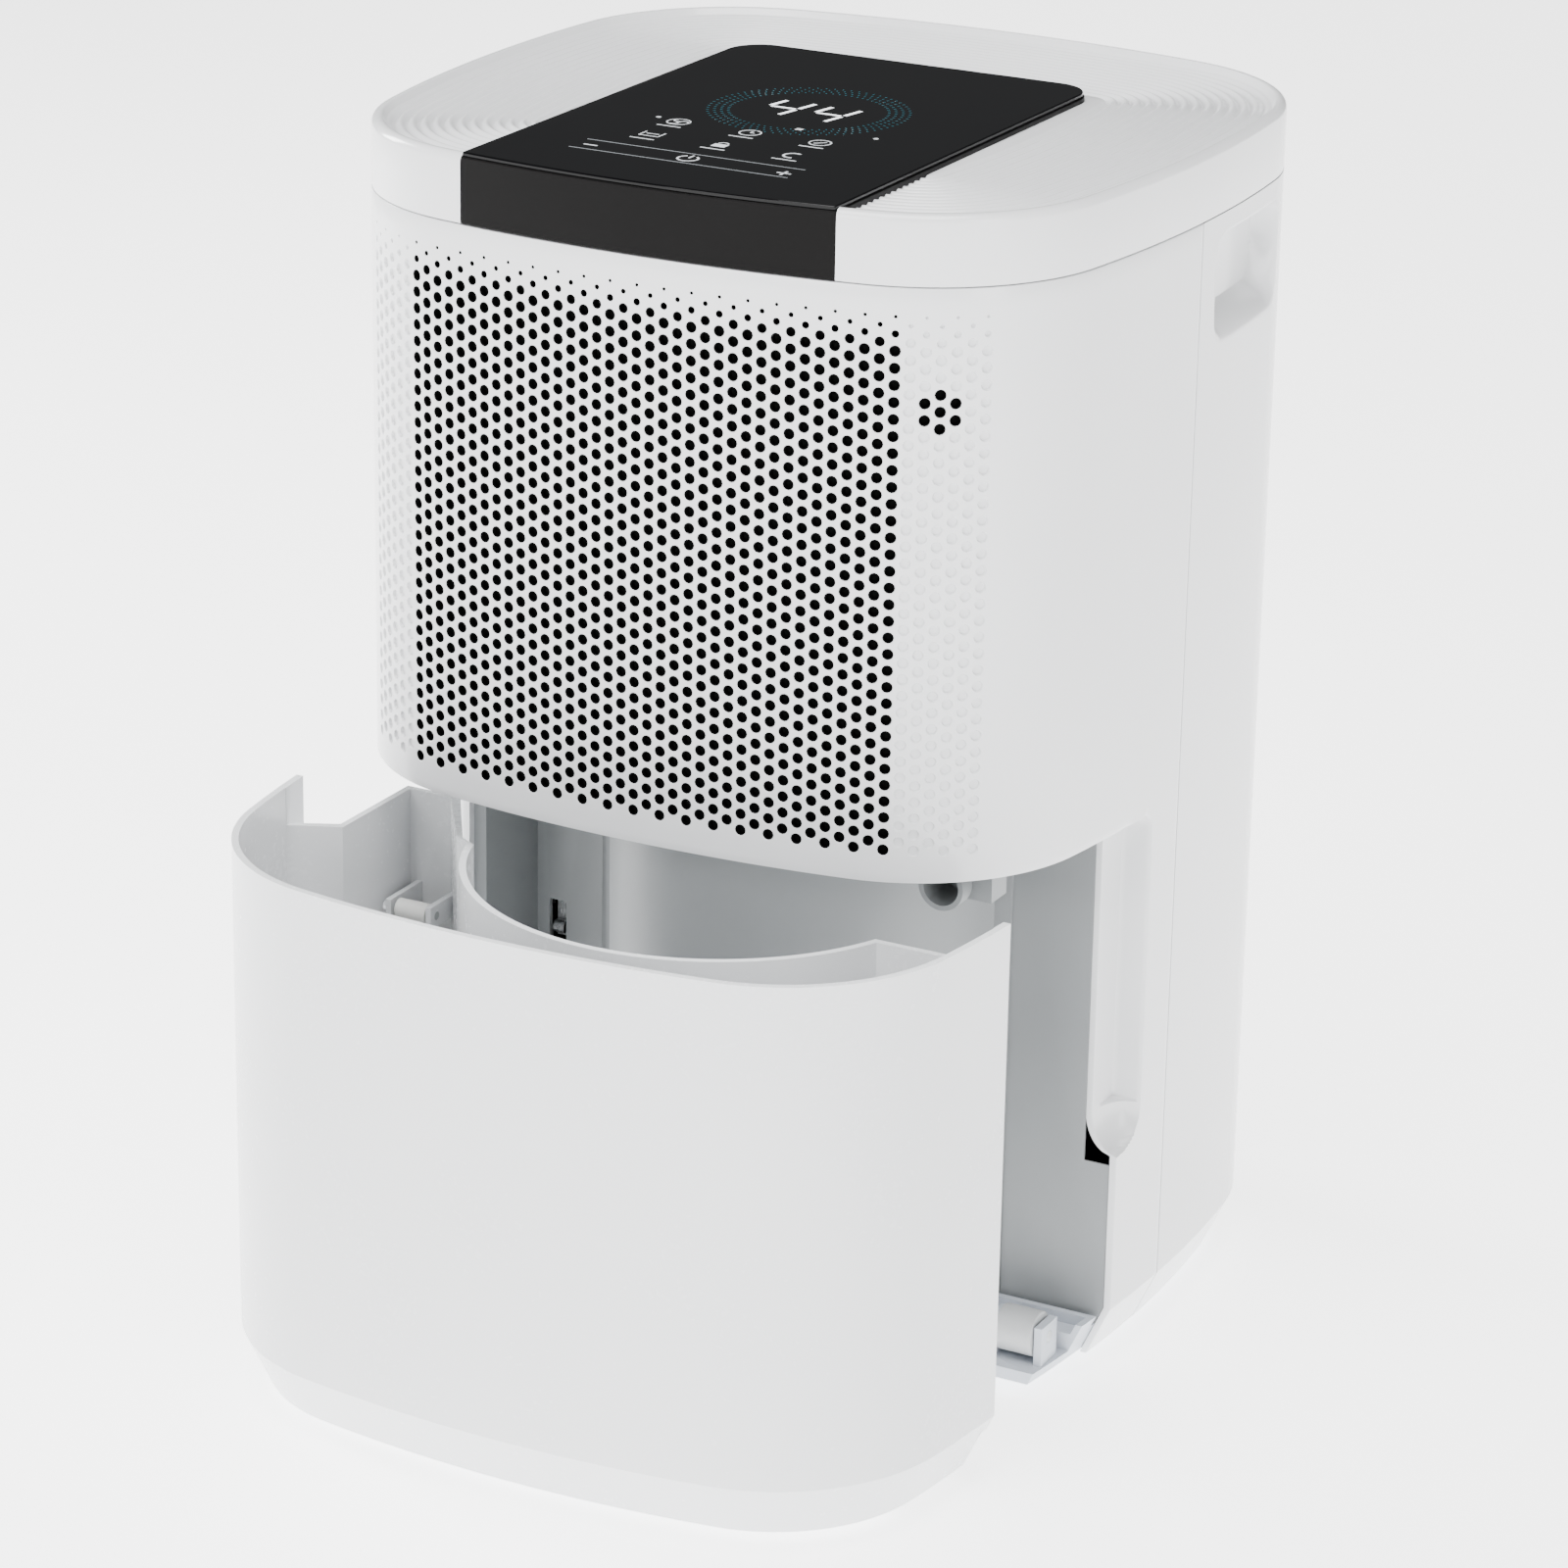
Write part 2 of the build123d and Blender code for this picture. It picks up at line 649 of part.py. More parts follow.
def fan_impeller():
    """Forward-curved centrifugal wheel: hub disc, blades and inlet ring."""
    y0, y1 = IMPELLER_Y
    wheel = barrel(0, FAN_Z, IMPELLER_R, (y0, y0 + 1.6))
    wheel += barrel(0, FAN_Z, 11, (y0, y0 + 20))
    rim = barrel(0, FAN_Z, IMPELLER_R, (y1 - 3, y1)) - barrel(0, FAN_Z, IMPELLER_R - 9, (y1 - 4, y1 + 1))
    wheel += rim
    blade = Pos(IMPELLER_R - 5.2, 0, 0) * Rot(0, 25, 0) * Box(9.5, y1 - y0 - 3.6, 1.0)
    middle = (y0 + y1) / 2 - 0.7
    for k in range(BLADES):
        wheel += Pos(0, middle, FAN_Z) * Rot(0, 360 / BLADES * k, 0) * blade
    return wheel - barrel(0, FAN_Z, 4.05, (y0 - 1, y1))


def fan_motor():
    """Shaded motor in front of the scroll, with its shaft."""
    y0 = SCROLL_Y[0]
    body = barrel(0, FAN_Z, 27, (y0 - 30, y0 + 4))
    body += barrel(0, FAN_Z, 4.0, (y0 + 4, IMPELLER_Y[0] + 18))
    body += barrel(0, FAN_Z, 9, (y0 - 35, y0 - 30))
    return body


def motor_bracket():
    """Three-armed bracket that holds the motor on the scroll."""
    y0 = SCROLL_Y[0]
    ring = barrel(0, FAN_Z, 31, (y0 - 5, y0 - 0.2))
    for k in range(3):
        arm = Pos(44, 0, 0) * Box(28, 4.8, 12) - Pos(54, 0, 0) * Rot(90, 0, 0) * Cylinder(1.6, 10)
        ring += Pos(0, y0 - 2.6, FAN_Z) * Rot(0, 90 + 120 * k, 0) * arm
    return ring - barrel(0, FAN_Z, 27.2, (y0 - 6, y0 + 1))


def coil_duct():
    """Frame that guides the air from the coils into the fan inlet."""
    y0, y1 = SCROLL_Y[1] + 0.2, 54.0
    plate = block((-COIL_X - 6, COIL_X + 6), (y0, y1 - 2), (COIL_Z[0] - 4, COIL_Z[1] + 4))
    plate -= barrel(0, FAN_Z, 46, (y0 - 1, y1))
    wall = block((-COIL_X - 6, COIL_X + 6), (y1 - 2, y1), (COIL_Z[0] - 4, COIL_Z[1] + 4))
    wall -= block((-COIL_X - 4, COIL_X + 4), (y1 - 3, y1 + 1), (COIL_Z[0] - 2, COIL_Z[1] + 2))
    return plate + wall


# ---- bay, tray and drip path --------------------------------------------------------
def bay_plan(offset):
    """Plan of the space for the tank behind the opening; offset shrinks it."""
    left_x = LEFT_BAY[0] + offset
    back_y = LEFT_BAY[1] - offset
    side = Polyline(
        (-128 + offset, -150),
        (-128 + offset, -34 - offset),
        (left_x, -28 - offset),
        (left_x, back_y),
        (-91 - offset, back_y),
        (-68 - offset, -28),
        (0, -60),
        (80, RIGHT_BAY_Y - offset),
        (140, RIGHT_BAY_Y - offset),
        (140, -150),
        (-128 + offset, -150),
    )
    return make_face(side) - Pos(*BULGE) * Circle(BULGE_R + offset)


def bay_liner():
    """Grey wall behind the tank: left chamber, round bulge and right wall."""
    z = (TRAY_TOP_Z + GAP, CASING_FOOT_Z)
    keep = prism(WALL + GAP, (0, 300)) & block((-200, 200), (OPENING_Y + 0.5, 100), z)
    front = block((-80, 92), (-140, OPENING_Y + 0.5), z)
    outer = slab(bay_plan(-2.2), z) & (keep + front)
    wall = outer - slab(bay_plan(0), (z[0] - 1, z[1] + 1))
    around = RECESS_DEPTH + RECESS_T + GAP
    recess_z = (RECESS_Z[0] - 2 * RECESS_T, RECESS_Z[1] + 1)
    wall -= prism(-5, recess_z) - prism(around, recess_z)
    wall &= envelope(WALL + GAP, (BASE_Z, CASING_FOOT_Z))
    wall -= block((-113, -106), (0, 20), (94, 110))
    return wall


def drip_tray():
    """Condensate tray that roofs the tank bay and catches water below the coils."""
    z0 = CASING_FOOT_Z + RECESS_T + 0.3
    plan = prism(WALL + GAP, (z0, z0 + 2.2)) & block((-200, 200), (-200, 108), (0, 300))
    rim_box = block((-92, 92), (50, 107), (z0, z0 + 9))
    rim = rim_box - block((-90, 90), (52, 105), (z0 + 2.2, z0 + 10))
    tray = plan + (rim & prism(WALL + GAP, (z0, z0 + 9)))
    tray -= post(*SPOUT_XY, 4.0, (z0 - 1, z0 + 5))
    tray -= pipes_clearance(z0)
    return tray


def pipes_clearance(z0):
    """Holes in the tray where the two copper pipes pass."""
    holes = post(104, EVAPORATOR_Y, 6, (z0 - 1, z0 + 12))
    holes += post(-100, CONDENSER_Y, 6, (z0 - 1, z0 + 12))
    return holes


def drip_spout():
    """Round spout that drops the water into the tank."""
    x, y = SPOUT_XY
    top = CASING_FOOT_Z + RECESS_T + 0.3
    tube = barrel(x, SPOUT_Z, 8.0, (y - 9, y + 9))
    tube += block((x - 6.5, x + 6.5), (y - 6.5, y + 9), (SPOUT_Z, top))
    tube += block((x + 6, x + 15), (y - 2, y + 9), (SPOUT_Z - 5, top))
    tube -= barrel(x, SPOUT_Z, 6.3, (y - 10, y + 7))
    tube -= post(x, y, 4.0, (SPOUT_Z, top + 1))
    return tube


def base_tray():
    """Base pan: floor, rim round the machine room, ledges under the tank."""
    far = (-200, 200)
    inner = envelope(WALL + GAP, (BASE_Z + 1, 40))
    room = inner & block(far, (12, 200), (BASE_Z + 1, 30))
    room -= envelope(WALL + GAP + 2.5, (BASE_Z + 4, 60)) & block(far, (14.5, 200), (12, 60))
    middle = post(BULGE[0], BULGE[1], BULGE_R - 3.2, (BASE_Z + 1, 34))
    middle -= post(BULGE[0], BULGE[1], BULGE_R - 5.7, (12, 40))
    ledge = inner & block(far, (-70, 16), (BASE_Z + 1, LEDGE_Z))
    ledge -= slab(tank_plan(-2), (0, 40)) & block(far, (-200, TANK_STEP_Y + 4), (0, 40))
    pan = room + middle + ledge + tray_deck(inner)
    pan -= middle_room()
    for side in (-1, 1):
        pan += roller_bracket(side)
    for x, y in foot_places():
        pan += post(x, y, 8, (6, 22)) - post(x, y, 3.05, (12, 23))
    for x, y in SCREW_PLACES:
        pan += post(x, y, 5, (6, 20))
        pan -= post(x, y, 2.0, (0, 18))
        pan -= post(x, y, 4.4, (0, BASE_Z + 3.2))
    return pan


def tray_deck(inner):
    """Raised deck below the tank, with a low rim at its sides and back and a roller pocket."""
    far = (-200, 200)
    deck = inner & block(far, (TANK_STEP_Y + 4, 6), (LEDGE_Z - 1, TRAY_TOP_Z))
    rim_low = TRAY_TOP_Z - 1
    rim = inner & block(far, (-64, RIGHT_BAY_Y - 0.5), (rim_low, TRAY_RIM_Z))
    rim -= envelope(WALL + GAP + 2.5, (rim_low, 40)) & block(far, (-70, RIGHT_BAY_Y - 3), (rim_low, 40))
    rim -= block((LEFT_BAY[0], 0), (-70, 20), (rim_low, 40))
    deck += rim
    deck -= post(BULGE[0], BULGE[1], BULGE_R - 5.7, (LEDGE_Z, 40))
    deck -= post(BULGE[0], BULGE[1], BULGE_R + 0.3, (TRAY_TOP_Z, 40))
    x, y = ROLLER_XY
    for side in (-1, 1):
        pocket_x = sorted((side * (x - 12), side * 200))
        deck -= block(pocket_x, (-200, y + 10), (LEDGE_Z, 40))
    return deck


def middle_room():
    """Opens the round machine space into the rear space."""
    return block((-50, 74), (-8, 20), (12, 40))


def roller_bracket(side):
    """Two cheeks that carry a guide roller on its pin."""
    x, y = ROLLER_XY
    cheeks = [block((side * x + a - 1.5, side * x + a + 1.5), (y - 6, y + 6), (LEDGE_Z - 1, ROLLER_Z + 5))
              for a in (-9.0, 9.0)]
    return cheeks[0] + cheeks[1] - axle(y, ROLLER_Z, 2.05, (side * x - 20, side * x + 20))


def roller(side):
    """Guide roller for the tank, with a groove round its middle."""
    x, y = ROLLER_XY
    wheel = axle(y, ROLLER_Z, ROLLER_R, (side * x - 7, side * x + 7))
    wheel -= axle(y, ROLLER_Z, 2.06, (side * x - 8, side * x + 8))
    return wheel


def roller_pins():
    """Steel pins of the two rollers."""
    x, y = ROLLER_XY
    return Compound([axle(y, ROLLER_Z, 2.0, (s * x - 10.5, s * x + 10.5)) for s in (-1, 1)])


def rubber_feet():
    """Four round feet below the base pan, and a pad below the compressor."""
    places = [(-88, 84), (88, 84), (-84, -46), (84, -46), (0, 0)]
    return Compound([post(x, y, 11, (0, BASE_Z + 1)) for x, y in places])


# ---- tank ---------------------------------------------------------------------------
def tank_plan(t):
    """Plan of the tank's chamber when it is pushed home; t moves every wall inward."""
    c = TANK_CLEAR + t
    chamber = Polyline(
        (-150, -150),
        (-150, -46 - t),
        (-131, -46 - t),
        (LEFT_BAY[0] + c, -38 - t),
        (LEFT_BAY[0] + c, LEFT_BAY[1] - c),
        (-91 - c, LEFT_BAY[1] - c),
        (-70 - c, -28),
        (-20, -60),
        (60, -60),
        (84, RIGHT_BAY_Y - c),
        (150, RIGHT_BAY_Y - c),
        (150, -150),
        (-150, -150),
    )
    face = make_face(chamber) - Pos(*BULGE) * Circle(BULGE_R + c)
    return face & outline(t)


def tank():
    """Open water tank: full-height front wall, lower rear walls, stepped floor."""
    far = (-200, 200)
    body = slab(tank_plan(0), (BASE_Z, TANK_BACK_RIM_Z))
    skin = prism(0, (BASE_Z, TANK_RIM_Z)) - prism(WALL, (BASE_Z - 1, TANK_RIM_Z + 1))
    skin &= block(far, (-200, OPENING_Y - 0.5), (0, 400))
    shell = (body + skin) & envelope(0, (BASE_Z, TANK_RIM_Z))
    floor_front = block(far, (-200, TANK_STEP_Y - TANK_WALL), (BASE_Z + TANK_WALL, 400))
    floor_back = block(far, (-200, 200), (TANK_STEP_Z + TANK_WALL, 400))
    water = slab(tank_plan(TANK_WALL), (BASE_Z, 400)) & envelope(TANK_WALL, (BASE_Z, 400))
    shell -= water & (floor_front + floor_back)
    under = envelope(WALL, (0, TANK_STEP_Z)) & block(far, (TANK_STEP_Y, 100), (0, TANK_STEP_Z))
    shell -= under
    x, y, z = FLOAT_PIN
    home_y = y + TANK_OUT
    for a in (-8, 8):
        shell += block((x + a - 1, x + a + 1), (home_y + 4, 6 - TANK_CLEAR + 1), (z - 4, z + 4))
        shell += block((x + a - 1, x + a + 1), (home_y - 4, home_y + 5), (z - 4, z + 4))
    shell -= axle(home_y, z, 1.55, (x - 20, x + 20))
    return Pos(0, -TANK_OUT, 0) * shell


def float_pin():
    """Pin of the float."""
    x, y, z = FLOAT_PIN
    return axle(y, z, 1.5, (x - 9, x + 9))


def tank_float():
    """Hollow-looking float on a short arm, hanging below its pin."""
    x, y, z = FLOAT_PIN
    hub = axle(y, z, 3.5, (x - 6, x + 6))
    arm = block((x - 5, x + 5), (y - 3, y + 3), (z - 16, z))
    box = block((x - 6, x + 6), (y - 10, y + 10), (z - 38, z - 14))
    box = fillet(box.edges(), 2.5)
    return hub + arm + box - axle(y, z, 1.55, (x - 10, x + 10))


# ---- switch, filter, drain, cord inlet ----------------------------------------------
SWITCH_X = -109.5
SWITCH_Z = 102.0


def tank_switch():
    """Micro switch behind the slot in the bay wall."""
    body = block((SWITCH_X - 5, SWITCH_X + 5), (14, 30), (SWITCH_Z - 12, SWITCH_Z + 10))
    body += block((SWITCH_X - 3, SWITCH_X + 3), (30, 34), (SWITCH_Z - 6, SWITCH_Z - 2))
    body += block((SWITCH_X - 3, SWITCH_X + 3), (30, 34), (SWITCH_Z + 2, SWITCH_Z + 6))
    ears = [block((SWITCH_X + a - 0.8, SWITCH_X + a + 0.8), (10.5, 14.5), (SWITCH_Z + 5, SWITCH_Z + 10))
            for a in (-3.6, 3.6)]
    body += ears[0] + ears[1]
    return body - axle(12.2, SWITCH_Z + 7.5, 0.8, (SWITCH_X - 10, SWITCH_X + 10))


def switch_lever():
    """Metal tongue that the tank pushes, on its own pin."""
    pin = axle(12.2, SWITCH_Z + 7.5, 0.75, (SWITCH_X - 4.4, SWITCH_X + 4.4))
    tongue = block((SWITCH_X - 2.2, SWITCH_X + 2.2), (11.8, 12.6), (SWITCH_Z - 7, SWITCH_Z + 7.5))
    nose = axle(10.6, SWITCH_Z - 3, 2.4, (SWITCH_X - 2.2, SWITCH_X + 2.2))
    nose &= block((-200, 0), (0, 12.6), (0, 200))
    return pin + tongue + nose


def motor_screws():
    """Three screws that hold the motor bracket on the scroll."""
    y = SCROLL_Y[0] - 5.1
    angles = [math.radians(90 + 120 * k) for k in range(3)]
    places = [(54 * math.cos(a), y, FAN_Z - 54 * math.sin(a)) for a in angles]
    return screws(places, 3.0, 1.45, 2.0, 7.0, Rot(90, 0, 0))


def base_screws():
    """Six screws up through the base pan."""
    places = [(x, y, BASE_Z + 3.2) for x, y in SCREW_PLACES]
    return screws(places, 4.0, 1.95, 2.0, 8.0, Rot(180, 0, 0))


def filter_frame():
    """Pull-off intake grille that carries the mesh and follows the back of the casing."""
    half = WINDOW_HALF - 0.4
    z = (WINDOW_Z[0] + 0.4, WINDOW_Z[1] - 0.4)
    band = prism(0.1, z) - prism(WALL + 3.4, z)
    frame = band & block((-half, half), (90, 140), z)
    slats = 13
    pitch = (z[1] - z[0] - 16) / slats
    for k in range(slats):
        low = z[0] + 8 + k * pitch
        frame -= block((-half + 8, half - 8), (90, 140), (low + 1.2, low + pitch - 1.2))
    return frame


def filter_mesh():
    """Fine dust mesh behind the slats, drawn as a woven sheet of coarse strands."""
    half = WINDOW_HALF - 4
    z = (WINDOW_Z[0] + 4, WINDOW_Z[1] - 4)
    sheet = prism(WALL + 3.6, z) - prism(WALL + 4.4, z)
    return sheet & block((-half, half), (90, 140), z)


def wall_back_y(x, inset=0.0):
    """Y of the back wall at a given x."""
    r = BACK_R - inset
    return BACK_C[1] + math.sqrt(r ** 2 - x ** 2)


def drain_port():
    """Hose spigot for continuous drainage, through the back wall."""
    x, z = PLUG_XZ
    y = wall_back_y(x)
    port = barrel(x, z, 8.0, (y - 24, y + 1.5)) + barrel(x, z, 11.0, (y - 8, y - 6))
    return port - barrel(x, z, 5.5, (y - 30, y + 2))


def drain_plug():
    """Rubber plug with a pull tab."""
    x, z = PLUG_XZ
    y = wall_back_y(x)
    plug = barrel(x, z, 5.45, (y - 12, y + 1.6)) + barrel(x, z, 9.0, (y + 1.6, y + 4.0))
    tab = block((x - 4, x + 4), (y + 1.6, y + 4.0), (z - 16, z))
    return plug + tab


def cord_gland():
    """Bush where the mains lead enters; the lead itself is not part of the object."""
    x, z = GLAND_XZ
    y = wall_back_y(x)
    gland = barrel(x, z, 7.0, (y - 12, y + 1.8)) + barrel(x, z, 9.5, (y + 1.8, y + 4.2))
    gland += barrel(x, z, 9.5, (y - 8, y - 5))
    return gland - barrel(x, z, 3.8, (y - 20, y + 9))


NODES = {
    "front_casing": front_casing,
    "rear_casing": rear_casing,
    "top_cover": top_cover,
    "panel_body": panel_body,
    "panel_glass": panel_glass,
    "touch_board": touch_board,
    "digit_display": digit_display,
    "board_posts": board_posts,
    "control_board": control_board,
    "board_tray": board_tray,
    "run_capacitor": run_capacitor,
    "humidity_sensor": humidity_sensor,
    "sensor_holder": sensor_holder,
    "evaporator_fins": lambda: coil_fins(EVAPORATOR_Y, 20),
    "evaporator_tube": lambda: coil_tube(EVAPORATOR_Y),
    "evaporator_frame": lambda: coil_frame(EVAPORATOR_Y, 20),
    "condenser_fins": lambda: coil_fins(CONDENSER_Y, 20),
    "condenser_tube": lambda: coil_tube(CONDENSER_Y),
    "condenser_frame": lambda: coil_frame(CONDENSER_Y, 20),
    "compressor": compressor,
    "compressor_grommets": compressor_grommets,
    "compressor_bolts": compressor_bolts,
    "accumulator": accumulator,
    "terminal_cover": terminal_cover,
    "suction_pipe": suction_pipe,
    "discharge_pipe": discharge_pipe,
    "capillary_tube": capillary,
    "fan_scroll": fan_scroll,
    "fan_impeller": fan_impeller,
    "fan_motor": fan_motor,
    "motor_screws": motor_screws,
    "motor_bracket": motor_bracket,
    "coil_duct": coil_duct,
    "bay_liner": bay_liner,
    "drip_tray": drip_tray,
    "drip_spout": drip_spout,
    "base_tray": base_tray,
    "roller_left": lambda: roller(-1),
    "roller_right": lambda: roller(1),
    "roller_pins": roller_pins,
    "rubber_feet": rubber_feet,
    "base_screws": base_screws,
    "water_tank": tank,
    "float_pin": float_pin,
    "tank_float": tank_float,
    "tank_switch": tank_switch,
    "switch_lever": switch_lever,
    "filter_frame": filter_frame,
    "filter_mesh": filter_mesh,
    "drain_port": drain_port,
    "drain_plug": drain_plug,
    "cord_gland": cord_gland,
}

for node_name, build in NODES.items():
    export_step(build(), f"parts/{node_name}.step")
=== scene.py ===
import json
import logging
import math
from dataclasses import dataclass, field
from enum import Enum
from typing import Any, Callable, Iterable, Sequence

import bmesh
import bpy
from bmesh.types import BMEdge, BMesh, BMVert
from bpy.types import ID, Material, Mesh, Node, NodeSocket, NodeTree, Object
from mathutils import Matrix, Vector


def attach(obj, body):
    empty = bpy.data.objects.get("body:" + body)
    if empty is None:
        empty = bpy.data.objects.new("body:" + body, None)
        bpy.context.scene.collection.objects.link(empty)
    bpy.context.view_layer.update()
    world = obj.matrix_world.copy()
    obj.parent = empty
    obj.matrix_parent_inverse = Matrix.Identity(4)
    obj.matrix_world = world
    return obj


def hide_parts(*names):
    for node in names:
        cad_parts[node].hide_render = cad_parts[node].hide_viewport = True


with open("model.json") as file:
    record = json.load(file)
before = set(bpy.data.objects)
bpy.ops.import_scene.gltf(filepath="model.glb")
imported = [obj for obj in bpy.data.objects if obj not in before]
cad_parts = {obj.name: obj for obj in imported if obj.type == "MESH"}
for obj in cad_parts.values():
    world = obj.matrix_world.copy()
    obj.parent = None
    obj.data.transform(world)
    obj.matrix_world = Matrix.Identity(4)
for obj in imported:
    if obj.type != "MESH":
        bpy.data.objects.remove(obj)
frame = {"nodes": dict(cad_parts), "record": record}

Pair = tuple[float, float]
Triple = tuple[float, float, float]

LOG = logging.getLogger("dehumidifier")
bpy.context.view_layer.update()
MM = 0.001

# Heights, depths and insets in millimetres, along the axes of the frame.
BASE_Z = 4.0
SEAM_Z = 396.6
FIELD_Z = 417.0
PANEL_Z = 420.3
FOOT_Z = 200.0
CHAMFER_H = 19.0
CHAMFER_IN = 8.7
WALL = 2.6
GAP = 0.3
OPENING_Y = -35.0
SHARP = math.radians(30.0)


# ---- plan outline -------------------------------------------------------------------
@dataclass(frozen=True)
class Arc:
    """One arc of the plan, from a start to an end bearing about its centre."""

    centre: Pair
    radius: float
    start: float
    end: float

    @property
    def length(self) -> float:
        """Length of the arc on the outer wall."""
        return self.radius * (self.end - self.start)

    def at(self, along: float, inset: float) -> Pair:
        """Point at a length along the arc, moved inward.

        Args:
            along: Length from the start of the arc, on the outer wall.
            inset: Distance inward from the outer wall.

        Returns:
            Plan point in millimetres.
        """
        bearing = self.start + along / self.radius
        r = self.radius - inset
        return (
            self.centre[0] + r * math.sin(bearing),
            self.centre[1] - r * math.cos(bearing),
        )


@dataclass(frozen=True)
class Plan:
    """Casing outline: five tangent arcs a side, measured along the wall from the front."""

    width: float = 271.6
    depth: float = 263.4
    widest_y: float = 9.4
    front_r: float = 465.0
    front_corner_r: float = 65.4
    side_r: float = 525.0
    rear_corner_r: float = 67.8
    back_r: float = 427.0

    @staticmethod
    def _crossing(a: Pair, ra: float, b: Pair, rb: float) -> Pair:
        """Right-hand crossing of two circles.

        Args:
            a: Centre of the first circle.
            ra: Radius of the first circle.
            b: Centre of the second circle.
            rb: Radius of the second circle.

        Returns:
            The crossing with the larger x.
        """
        dx, dy = b[0] - a[0], b[1] - a[1]
        d = math.hypot(dx, dy)
        along = (ra * ra - rb * rb + d * d) / (2 * d)
        across = math.sqrt(ra * ra - along * along)
        mid = (a[0] + along * dx / d, a[1] + along * dy / d)
        return max(
            (mid[0] + across * dy / d, mid[1] - across * dx / d),
            (mid[0] - across * dy / d, mid[1] + across * dx / d),
        )

    def arcs(self) -> list[Arc]:
        """Arcs of the right half, front to back."""
        front_c = (0.0, -self.depth / 2 + self.front_r)
        side_c = (self.width / 2 - self.side_r, self.widest_y)
        back_c = (0.0, self.depth / 2 - self.back_r)
        fr, rr = self.front_corner_r, self.rear_corner_r
        c1 = self._crossing(front_c, self.front_r - fr, side_c, self.side_r - fr)
        c2 = self._crossing(back_c, self.back_r - rr, side_c, self.side_r - rr)
        a1 = math.atan2(c1[0], front_c[1] - c1[1])
        a2 = math.atan2(c1[0] - side_c[0], side_c[1] - c1[1])
        a3 = math.atan2(c2[0] - side_c[0], side_c[1] - c2[1])
        a4 = math.atan2(c2[0] - back_c[0], back_c[1] - c2[1])
        return [
            Arc(front_c, self.front_r, 0.0, a1),
            Arc(c1, fr, a1, a2),
            Arc(side_c, self.side_r, a2, a3),
            Arc(c2, rr, a3, a4),
            Arc(back_c, self.back_r, a4, math.pi),
        ]

    @property
    def half_length(self) -> float:
        """Length of wall from the middle of the front to the middle of the back."""
        return sum(arc.length for arc in ARCS)

    def at(self, s: float, inset: float = 0.0) -> Pair:
        """Point on the wall.

        Args:
            s: Length along the wall from the middle of the front, positive to the right.
            inset: Distance inward.

        Returns:
            Plan point in millimetres.
        """
        whole = 2 * self.half_length
        s = (s + whole / 2) % whole - whole / 2
        side, rest = (1.0, s) if s >= 0 else (-1.0, -s)
        for arc in ARCS:
            if rest <= arc.length or arc is ARCS[-1]:
                x, y = arc.at(rest, inset)
                return side * x, y
            rest -= arc.length
        raise ValueError(s)

    def s_at_y(self, y: float) -> float:
        """Length along the right wall at which the side has a given y.

        Args:
            y: Plan y on the side wall.

        Returns:
            Length along the wall.
        """
        low, high = ARCS[0].length, self.half_length - ARCS[-1].length
        for _ in range(50):
            mid = (low + high) / 2
            low, high = (mid, high) if self.at(mid)[1] < y else (low, mid)
        return low

    def loop(self, steps: Sequence[int]) -> list[float]:
        """Lengths along the whole wall, evenly spaced on each arc.

        Args:
            steps: Number of steps on each of the five arcs of a side.

        Returns:
            Lengths from the middle of the back round by the front, without the last.
        """
        right = [0.0]
        for arc, count in zip(ARCS, steps):
            start = right[-1]
            right += [start + arc.length * (k + 1) / count for k in range(count)]
        left = [-s for s in reversed(right[1:])]
        return left + right[:-1]


PLAN = Plan()
ARCS = PLAN.arcs()
S_OPENING = PLAN.s_at_y(OPENING_Y)
S_REAR_SEAM = PLAN.s_at_y(GAP / 2)


# ---- materials ----------------------------------------------------------------------
def linear(code: str) -> tuple[float, float, float, float]:
    """Linear colour of an sRGB hex value.

    Args:
        code: Six hex digits.

    Returns:
        Linear red, green, blue and an alpha of 1.
    """
    parts = [int(code[i : i + 2], 16) / 255 for i in (0, 2, 4)]
    r, g, b = (c / 12.92 if c <= 0.04045 else ((c + 0.055) / 1.055) ** 2.4 for c in parts)
    return (r, g, b, 1.0)


def add_node(tree: NodeTree, kind: str, links: dict[str, Any], **settings: Any) -> Node:
    """Adds a shader node with its settings, values and links.

    Args:
        tree: Node tree of the material.
        kind: Node type name.
        links: Socket name to a value, or to an output socket that feeds it.
        **settings: Properties set on the node itself.

    Returns:
        The new node.
    """
    node = tree.nodes.new(kind)
    for key, value in settings.items():
        setattr(node, key, value)
    for key, value in links.items():
        socket = node.inputs[int(key)] if key.isdigit() else node.inputs[key]
        if isinstance(value, NodeSocket):
            tree.links.new(value, socket)
        else:
            socket.default_value = value
    return node


class Pattern(Enum):
    """Texture that a finish takes its fine relief from."""

    GRAIN = "grain"
    BRUSHED = "brushed"
    WOVEN = "woven"


